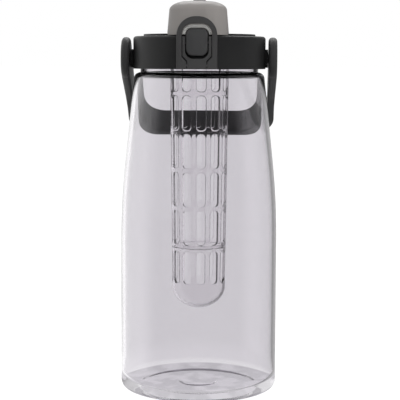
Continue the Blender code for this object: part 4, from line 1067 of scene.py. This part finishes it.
def make_loop():
    near, far = -LOOP_BACK, -LOOP_BACK - LOOP_THICKNESS
    loop = plate("lock_arch", loop_outline(), near, far, FRONT_PLANE, LATCH_DARK, LOOP_EDGE)
    combined(loop, "DIFFERENCE", latch_bore(LOCK_PIN_RADIUS, LOCK_AXIS, 2 * LOOP_HALF_WIDTH))
    stand_for(loop, "lock_loop", "lock")


def make_latch_spring():
    """The coil behind the lever, drawn at rest between the lever and its pocket; the real coil shortens
    towards its pocket as the button goes in.
    """
    near = -(LEVER_FRONT - LEVER_THICKNESS) + FIT + SPRING_WIRE / 2
    far = -COLLAR_RADIUS + SPRING_POCKET - FIT - SPRING_WIRE / 2
    section = arc((0, 0), SPRING_WIRE / 2, 0, 330, 12)
    middles, rings = [], []
    for share in np.linspace(0, 1, int(24 * LATCH_SPRING_TURNS) + 1):
        turn = 2 * pi * LATCH_SPRING_TURNS * share
        outward = Vector((cos(turn), 0, sin(turn)))
        axis_place = Vector((0, near + (far - near) * share, LATCH_SPRING_Z))
        middles.append(axis_place + outward * LATCH_SPRING_RADIUS)
        rings.append([middles[-1] + outward * x + Vector((0, y, 0)) for x, y in section])
    coil = skinned("coil", [[middles[0]], *rings, [middles[-1]]], STEEL)
    stand_for(coil, "latch_spring", "lid")
    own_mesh(coil)


# Bail handle and its pins
def bail_ring(inner, outer, half_width, edge):
    """A cut across the bail with round corners, between an inner and an outer point in x and z."""
    inner, outer = Vector(inner), Vector(outer)
    thickness = (outer - inner).length
    outwards = (outer - inner).normalized()
    ring = []
    for reach, y in rounded_rectangle((0, -half_width), (thickness, half_width), edge, 7):
        place = inner + outwards * reach
        ring.append((place.x, y, place.y))
    return ring


def bail_rings():
    """Cuts across the bail hanging from its pivots: down one arm, along the grip, up the other."""
    half = GRIP_WIDTH / 2
    waist = -HANDLE_REACH * WAIST_SHARE
    lean = atan2(EYE_RADIUS - half, -waist) + BELT_LEAN
    belt = (waist, -EYE_RADIUS * sin(lean))
    inner_z = -HANDLE_REACH + ARM_THICKNESS / 2 + HANDLE_INNER_CORNER
    outer_z = -HANDLE_REACH - ARM_THICKNESS / 2 + HANDLE_CORNER
    flare = (-HANDLE_REACH * FLARE_SHARE, -EYE_RADIUS / 2)
    rings = [[((ARM_INNER + EYE_SPAN) / 2, 0, 0)]]
    for height in np.linspace(0, inner_z, 25)[:-1]:
        outer_x = np.interp(height, flare, (HANDLE_HALF_SPAN, EYE_SPAN))
        width = np.interp(height, belt, (half, EYE_RADIUS * cos(lean)))
        edge = np.interp(height, belt, (HANDLE_EDGE, EYE_ROUND))
        inner, outer = (ARM_INNER + ARM_TUCK, height), (outer_x - ARM_TUCK, height)
        rings.append(bail_ring(inner, outer, width, edge))
    inner_arc = arc((ARM_INNER - HANDLE_INNER_CORNER, inner_z), HANDLE_INNER_CORNER, 0, -90, 24)
    outer_arc = arc((HANDLE_HALF_SPAN - HANDLE_CORNER, outer_z), HANDLE_CORNER, 0, -90, 24)
    rings += [bail_ring(inner, outer, half, HANDLE_EDGE) for inner, outer in zip(inner_arc, outer_arc)]
    return rings + [[(-x, y, z) for x, y, z in ring] for ring in rings[::-1]]


def eye_disc(sign):
    """The disc of one arm's eye with its rim rounded, along X."""
    thickness, middle = EYE_SPAN - ARM_INNER, EYE_RADIUS - EYE_ROUND
    rim = arc((middle, thickness - EYE_ROUND), EYE_ROUND, 90, 0, 10)
    rim += arc((middle, EYE_ROUND), EYE_ROUND, 0, -90, 10)
    disc = turned("eye", [(0, thickness), *rim, (0, 0)], HANDLE_DARK)
    place = Matrix.Translation((sign * ARM_INNER, 0, 0))
    disc.data.transform(place @ Matrix.Rotation(sign * pi / 2, 4, "Y"))
    return disc


def make_handle():
    handle = skinned("bail_handle", bail_rings(), HANDLE_DARK)
    combined(handle, "UNION", eye_disc(1), eye_disc(-1))
    hang = Matrix.Rotation(HANDLE_HANG, 4, "X")
    handle.data.transform(Matrix.Translation((0, 0, PIVOT_HEIGHT)) @ hang)
    pin, head = PIVOT_PIN_RADIUS + RUNNING, PIN_HEAD_RADIUS + RUNNING
    depths = ((pin, ARM_INNER - FIT), (head, EYE_SPAN - PIN_HEAD_THICKNESS - FIT))
    for sign in (1, -1):
        for radius, depth in depths:
            bore = cross_rod("bore", radius, sign * depth, sign * (EYE_SPAN + FIT), PIVOT, HANDLE_DARK)
            combined(handle, "DIFFERENCE", bore)
    handle.data.set_sharp_from_angle(angle=radians(SHARP_ANGLE))
    stand_for(handle, "handle", "handle")


def make_pivot_pin(side, sign):
    """A pin with a head sunk flush in the arm, its profile turned about Z and laid along X."""
    head, shank = EYE_SPAN - PIN_HEAD_THICKNESS, BOSS_END - PIN_DEPTH
    corners = stepped(0, EYE_SPAN, PIN_HEAD_RADIUS, head, PIVOT_PIN_RADIUS, shank, 0)
    profile = eased(corners, PIN_EDGE, closed=False)
    pin = turned(f"pivot_disc_{side}", profile, HANDLE_DARK, SMALL_STEPS)
    pin.rotation_euler = (0, sign * pi / 2, 0)
    pin.location = (0, *PIVOT)
    settled(pin)
    stand_for(pin, f"pivot_pin_{side}", "lid")


# Infuser
def basket_radius(height):
    """The basket's outer radius on its taper."""
    low = BASKET_TIP + BASKET_END_HEIGHT
    share = min(1.0, (height - low) / (INFUSER_COLLAR_BOTTOM - low))
    return BASKET_END_RADIUS + (BASKET_TOP_RADIUS - BASKET_END_RADIUS) * share


def outline_reach(bearing, half_width, half_length, corner):
    """Distance from a rounded rectangle's middle to its edge along a bearing."""
    across, up = cos(bearing), sin(bearing)
    near, far = 0.0, hypot(half_width, half_length)
    for _ in range(40):
        reach = (near + far) / 2
        x = abs(reach * across) - (half_width - corner)
        z = abs(reach * up) - (half_length - corner)
        outside = hypot(max(x, 0), max(z, 0)) + min(max(x, z), 0) > corner
        near, far = (near, reach) if outside else (reach, far)
    return reach


def slot_bearings(half_width, half_length, corner, cell_width, cell_length):
    """Bearings that follow a slot's corners closely and pass through its cell's corners."""
    centre = (half_width - corner, half_length - corner)
    quarter = [atan2(z, x) for x, z in arc(centre, corner, 0, 90, 9)]
    quarter += [atan2(cell_length, cell_width), 0.0]
    quarter += [atan2(half_length * share, half_width) for share in (0.2, 0.4, 0.6)]
    quarter = sorted(set(round(turn, 9) for turn in quarter))
    bearings = quarter + [pi - turn for turn in quarter[::-1]]
    bearings += [pi + turn for turn in quarter] + [2 * pi - turn for turn in quarter[::-1]]
    return sorted(set(round(turn % (2 * pi), 9) for turn in bearings))


def slot_rings(length, cell_length):
    """Flat rings from a slot's cell in through its hole, as (depth, points), and the cell's edge x."""
    half_width, half_length = SLOT_WIDTH / 2, length / 2
    cell_width, half_cell = pi * BASKET_TOP_RADIUS / SLOT_COLUMNS, cell_length / 2
    bearings = slot_bearings(half_width, half_length, SLOT_ROUND, cell_width, half_cell)

    def grown(extra):
        sizes = (half_width + extra, half_length + extra, SLOT_ROUND + extra)
        reaches = [outline_reach(turn, *sizes) for turn in bearings]
        return [(reach * cos(turn), reach * sin(turn)) for reach, turn in zip(reaches, bearings)]

    border = []
    for across, up in ((cos(turn), sin(turn)) for turn in bearings):
        reach = min(cell_width / max(abs(across), TINY), half_cell / max(abs(up), TINY))
        border.append((reach * across, reach * up))
    lip = grown(SLOT_EDGE)
    halfway = [((a[0] + b[0]) / 2, (a[1] + b[1]) / 2) for a, b in zip(border, lip)]
    rings = [(0.0, border), (0.0, halfway), (0.0, lip)]
    rounds = []
    for turn in np.linspace(0, pi / 2, 4)[1:]:
        rounds.append((SLOT_EDGE * (1 - cos(turn)), grown(SLOT_EDGE * (1 - sin(turn)))))
    rings += rounds + [(BASKET_WALL - depth, points) for depth, points in rounds[::-1]]
    rings += [(BASKET_WALL, lip), (BASKET_WALL, halfway), (BASKET_WALL, border)]
    return rings, sorted(set(round(x, 9) for x, z in border if abs(abs(z) - half_cell) < 1e-7))


def wrapped(bm, x, column, radius, height):
    """A vertex of the flat wall laid round the basket."""
    turn = SLOT_TURN + 2 * pi * column / SLOT_COLUMNS - pi / 2 + x / BASKET_TOP_RADIUS
    return bm.verts.new((radius * cos(turn), radius * sin(turn), height))


def fill_cells(bm, bottoms, length, cell_length):
    """Both faces of the wall round every slot. Returns the places in x of a cell's edge points."""
    rings, seam_x = slot_rings(length, cell_length)
    for middle in (bottom + length / 2 for bottom in bottoms):
        for column in range(SLOT_COLUMNS):
            loops = []
            for depth, points in rings:
                places = [(x, basket_radius(middle + z) - depth, middle + z) for x, z in points]
                loops.append([wrapped(bm, x, column, radius, height) for x, radius, height in places])
            bridge(bm, loops)
    return seam_x


def fill_plain(bm, seam_x, places, pole=None):
    """A plain band of wall through (radius, height) places, its columns matching the cells' edges."""
    spots = [(x, column) for column in range(SLOT_COLUMNS) for x in seam_x[:-1]]
    loops = [[wrapped(bm, *spot, radius, height) for spot in spots] for radius, height in places]
    if pole:
        loops.append([bm.verts.new((0, 0, pole))])
    bridge(bm, loops)


def seam_round(radius, height, up):
    """The rounded edge of the wall at the seam, the wall lying above it or below it."""
    small = SLOT_EDGE * SEAM_SHARE
    return [
        (radius, height + up * SLOT_EDGE),
        (radius - small, height + up * small),
        (radius - SLOT_EDGE, height),
    ]


def fill_basket(bm):
    """The slotted tube: cells, a plain band above up to its rim, and one below to the seam."""
    bottoms = [SLOT_BOTTOM + SLOT_PITCH * row for row in range(SLOT_ROWS)]
    seam_x = fill_cells(bm, bottoms, SLOT_LENGTH, SLOT_PITCH)
    between_slots = (SLOT_PITCH - SLOT_LENGTH) / 2
    high = bottoms[-1] + SLOT_LENGTH + between_slots
    low = bottoms[0] - between_slots
    rim = basket_radius(BASKET_TOP)
    outside = [(basket_radius(z), z) for z in (high, (high + BASKET_TOP) / 2, BASKET_TOP - SLOT_EDGE)]
    inside = [(radius - BASKET_WALL, z) for radius, z in outside[::-1]]
    top = [(rim - SLOT_EDGE, BASKET_TOP), (rim - BASKET_WALL + SLOT_EDGE, BASKET_TOP)]
    fill_plain(bm, seam_x, outside + top + inside)
    seam = basket_radius(BASKET_SEAM)
    foot = [(basket_radius(low), low), *seam_round(seam, BASKET_SEAM, 1)]
    foot += [(seam - BASKET_WALL, BASKET_SEAM), (basket_radius(low) - BASKET_WALL, low)]
    fill_plain(bm, seam_x, foot)
    weld(bm, CELL_WELD)


def end_curve(inset):
    """The round end's outer face moved inwards by inset, from its slots down to its tip."""
    level = BASKET_TIP + BASKET_END_HEIGHT
    radius, height = BASKET_END_RADIUS - inset, BASKET_END_HEIGHT - inset
    turns = np.linspace(0, pi / 2, 26)[:-1]
    return [(radius * cos(turn), level - height * sin(turn)) for turn in turns]


def fill_end(bm):
    """The round end: a band of slots, the lip inside the seam above and the dome below."""
    cell = END_SLOT_LENGTH + SLOT_PITCH - SLOT_LENGTH
    seam_x = fill_cells(bm, [END_SLOT_BOTTOM], END_SLOT_LENGTH, cell)
    low = END_SLOT_BOTTOM + (END_SLOT_LENGTH - cell) / 2
    high = low + cell
    seam = BASKET_SEAM - FIT
    outer = basket_radius(seam)
    lip_outer = outer - BASKET_WALL - FIT
    lip_inner = lip_outer - SEAM_LIP_WALL
    top = [
        (basket_radius(high), high),
        *seam_round(outer, seam, -1),
        (lip_outer, seam),
        (lip_outer, BASKET_SEAM + SEAM_LIP),
        (lip_inner, BASKET_SEAM + SEAM_LIP),
        (lip_inner, seam - SEAM_LIP_WALL),
        (basket_radius(high) - BASKET_WALL, high),
    ]
    fill_plain(bm, seam_x, top)
    for inset in (0, BASKET_WALL):
        side = (basket_radius(low) - inset, low)
        fill_plain(bm, seam_x, [side, *end_curve(inset)], BASKET_TIP + inset)
    weld(bm, CELL_WELD)


def infuser_collar_profile():
    """Round the collar from its inner lip over its top, its O-ring's groove and its foot."""
    ring_z = INFUSER_COLLAR_TOP - O_RING_DROP
    half_groove = O_RING_THICKNESS / 2 + FIT
    groove = INFUSER_COLLAR_RADIUS - O_RING_THICKNESS - FIT
    bore = BASKET_TOP_RADIUS + FIT
    steps = (bore - INFUSER_LIP, INFUSER_COLLAR_TOP, INFUSER_COLLAR_RADIUS, ring_z + half_groove, groove)
    steps += (ring_z - half_groove, INFUSER_COLLAR_RADIUS, INFUSER_COLLAR_BOTTOM, bore)
    return eased(stepped(*steps, BASKET_TOP + FIT, bore - INFUSER_LIP), SOFT_EDGE)


def make_infuser():
    tube = mesh_from("infuser_tube", fill_basket)
    basket = piece("infuser_tube", tube, BASKET, CLEAR_SHARP_ANGLE)
    stand_for(basket, "infuser_basket", "infuser")
    tip = mesh_from("infuser_tip", fill_end)
    end = piece("infuser_tip", tip, BASKET, CLEAR_SHARP_ANGLE)
    stand_for(end, "infuser_end_cap", "infuser")
    collar = turned("infuser_ring", infuser_collar_profile(), LID_DARK, ring=True)
    stand_for(collar, "infuser_collar", "infuser")


def finish_kept_nodes():
    """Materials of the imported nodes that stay."""
    steel = (STEEL, "steel")
    kept = {"latch_lever": (LATCH_DARK, "dark_plastic")}
    kept |= {"latch_pin": steel, "hinge_pin": steel, "lock_pin": steel}
    for name, (finish, slot) in kept.items():
        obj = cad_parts[name]
        obj.data.materials.clear()
        obj.data.materials.append(finish)


# Studio
FLOOR_DROP = 0.0002
FLOOR_SIZE = 30.0
FLOOR_ROUGHNESS = 0.9
FLOOR_TONE = 0.80
FLOOR_SEEN_TONE = 0.35
FLOOR_SEEN_LIFT = 0.82
SKY_LIGHT = 0.62
STUDIO_FRONT, STUDIO_BACK = -0.50, 0.10
STUDIO_DARK = 0.08
STUDIO_LEFT = 1.15
STUDIO_RIGHT = 0.36
STUDIO_SIDE_REACH = 0.5
LAMP_AIM = (0, 0, 0.15)
LAMPS = {  # place, size, power, and whether reflections show it
    "key": ((0.9, -1.1, 1.3), (0.9, 0.9), 16, False),
    "fill": ((-1.2, -0.9, 0.7), (1.4, 1.4), 1.5, True),
    "front": ((0.1, -1.2, 0.30), (0.25, 0.25), 2, False),
    "rim": ((0.2, 1.2, 1.4), (1.4, 0.7), 10, True),
}


def reflected(tree, path):
    """One where a ray has been reflected on its way."""
    return maths(tree, "MINIMUM", path["Glossy Depth"], 1.0)


def room_tone(tree, direction, sign):
    """The room that reflections show: dark in front, bright behind, and brighter on the left."""
    parts = split(tree, direction)
    reach = STUDIO_SIDE_REACH * sign
    side = ranged(tree, parts["X"], (-reach, reach), (STUDIO_LEFT, STUDIO_RIGHT))
    behind = between(tree, parts["Y"], STUDIO_FRONT * sign, STUDIO_BACK * sign)
    return mixed(tree, behind, STUDIO_DARK, side)


def make_floor():
    """White to the camera and through clear walls, with the shadow kept. Reflections show the room."""
    white = {"Emission_Color": (1, 1, 1, 1), "Roughness": FLOOR_ROUGHNESS, "Specular_IOR_Level": 0.0}
    made, shader = surface("floor_white", **white)
    tree = made.node_tree
    path = node(tree, "LightPath")
    seen, clear = path["Is Camera Ray"], path["Is Transmission Ray"]
    straight = maths(tree, "SUBTRACT", 1.0, reflected(tree, path))
    through = maths(tree, "MULTIPLY", clear, straight)
    shiny = maths(tree, "MAXIMUM", path["Is Glossy Ray"], clear)
    glossy = maths(tree, "MULTIPLY", shiny, reflected(tree, path))
    room = room_tone(tree, node(tree, "NewGeometry")["Incoming"], -1)
    flat = maths(tree, "MAXIMUM", through, glossy)
    tone = mixed(tree, flat, mixed(tree, seen, FLOOR_TONE, FLOOR_SEEN_TONE), 0.0)
    lift = mixed(tree, glossy, maths(tree, "MULTIPLY", seen, FLOOR_SEEN_LIFT), room)
    grey = node(tree, "CombineColor", {"Red": tone, "Green": tone, "Blue": tone})["Color"]
    link(tree, grey, shader.inputs["Base Color"])
    link(tree, mixed(tree, through, lift, 1.0), shader.inputs["Emission Strength"])

    def fill(bm):
        bmesh.ops.create_grid(bm, x_segments=1, y_segments=1, size=FLOOR_SIZE)

    floor = piece("floor", mesh_from("floor", fill), made)
    floor.location = (0, 0, -FLOOR_DROP)


def make_world():
    """Soft light, white behind the jug. Reflections show the studio's room."""
    world = bpy.data.worlds.new("studio")
    bpy.context.scene.world = world
    world.use_nodes = True
    tree = world.node_tree
    path = node(tree, "LightPath")
    room = room_tone(tree, node(tree, "TexCoord")["Generated"], 1)
    shown = mixed(tree, reflected(tree, path), 1.0, room)
    seen = maths(tree, "MAXIMUM", path["Is Camera Ray"], path["Is Glossy Ray"])
    seen = maths(tree, "MAXIMUM", seen, path["Is Transmission Ray"])
    background = tree.nodes["Background"]
    background.inputs["Color"].default_value = (1, 1, 1, 1)
    link(tree, mixed(tree, seen, SKY_LIGHT, shown), background.inputs["Strength"])


def make_lamp(name, place, size, power, shiny):
    """A soft rectangular lamp aimed at the jug's upper half, unseen by the camera."""
    lamp = bpy.data.lights.new(name, "AREA")
    lamp.shape = "RECTANGLE"
    lamp.size, lamp.size_y = size
    lamp.energy = power
    holder = bpy.data.objects.new(name, lamp)
    holder.location = place
    aim = Vector(LAMP_AIM) - Vector(place)
    holder.rotation_euler = aim.to_track_quat("-Z", "Y").to_euler()
    holder.visible_camera = False
    holder.visible_transmission = False
    holder.visible_glossy = shiny
    bpy.context.scene.collection.objects.link(holder)


def make_camera():
    camera = bpy.data.cameras.new("camera")
    camera.sensor_width = SENSOR
    camera.sensor_fit = "HORIZONTAL"
    camera.lens = SENSOR * FOCAL_PIXELS / IMAGE_SIZE
    camera.clip_start = CAMERA_CLIP
    holder = bpy.data.objects.new("camera", camera)
    x, y = CAMERA_DISTANCE * sin(CAMERA_AZIMUTH), -CAMERA_DISTANCE * cos(CAMERA_AZIMUTH)
    turn = Matrix.Rotation(CAMERA_AZIMUTH + CAMERA_YAW, 4, "Z")
    tilt = Matrix.Rotation(pi / 2 - CAMERA_PITCH, 4, "X")
    roll = Matrix.Rotation(CAMERA_ROLL, 4, "Z")
    holder.matrix_world = Matrix.Translation((x, y, CAMERA_HEIGHT)) @ turn @ tilt @ roll
    bpy.context.scene.collection.objects.link(holder)
    bpy.context.scene.camera = holder


def main():
    make_camera()
    make_body()
    make_lid_ring()
    make_deck()
    make_seals()
    make_spout()
    make_cap()
    make_frame()
    make_button()
    make_latch_spring()
    make_loop()
    make_handle()
    make_pivot_pin("right", 1)
    make_pivot_pin("left", -1)
    make_infuser()
    finish_kept_nodes()
    make_floor()
    make_world()
    for name, (place, size, power, shiny) in LAMPS.items():
        make_lamp(name, place, size, power, shiny)
    bpy.context.scene.view_settings.view_transform = "Standard"


main()
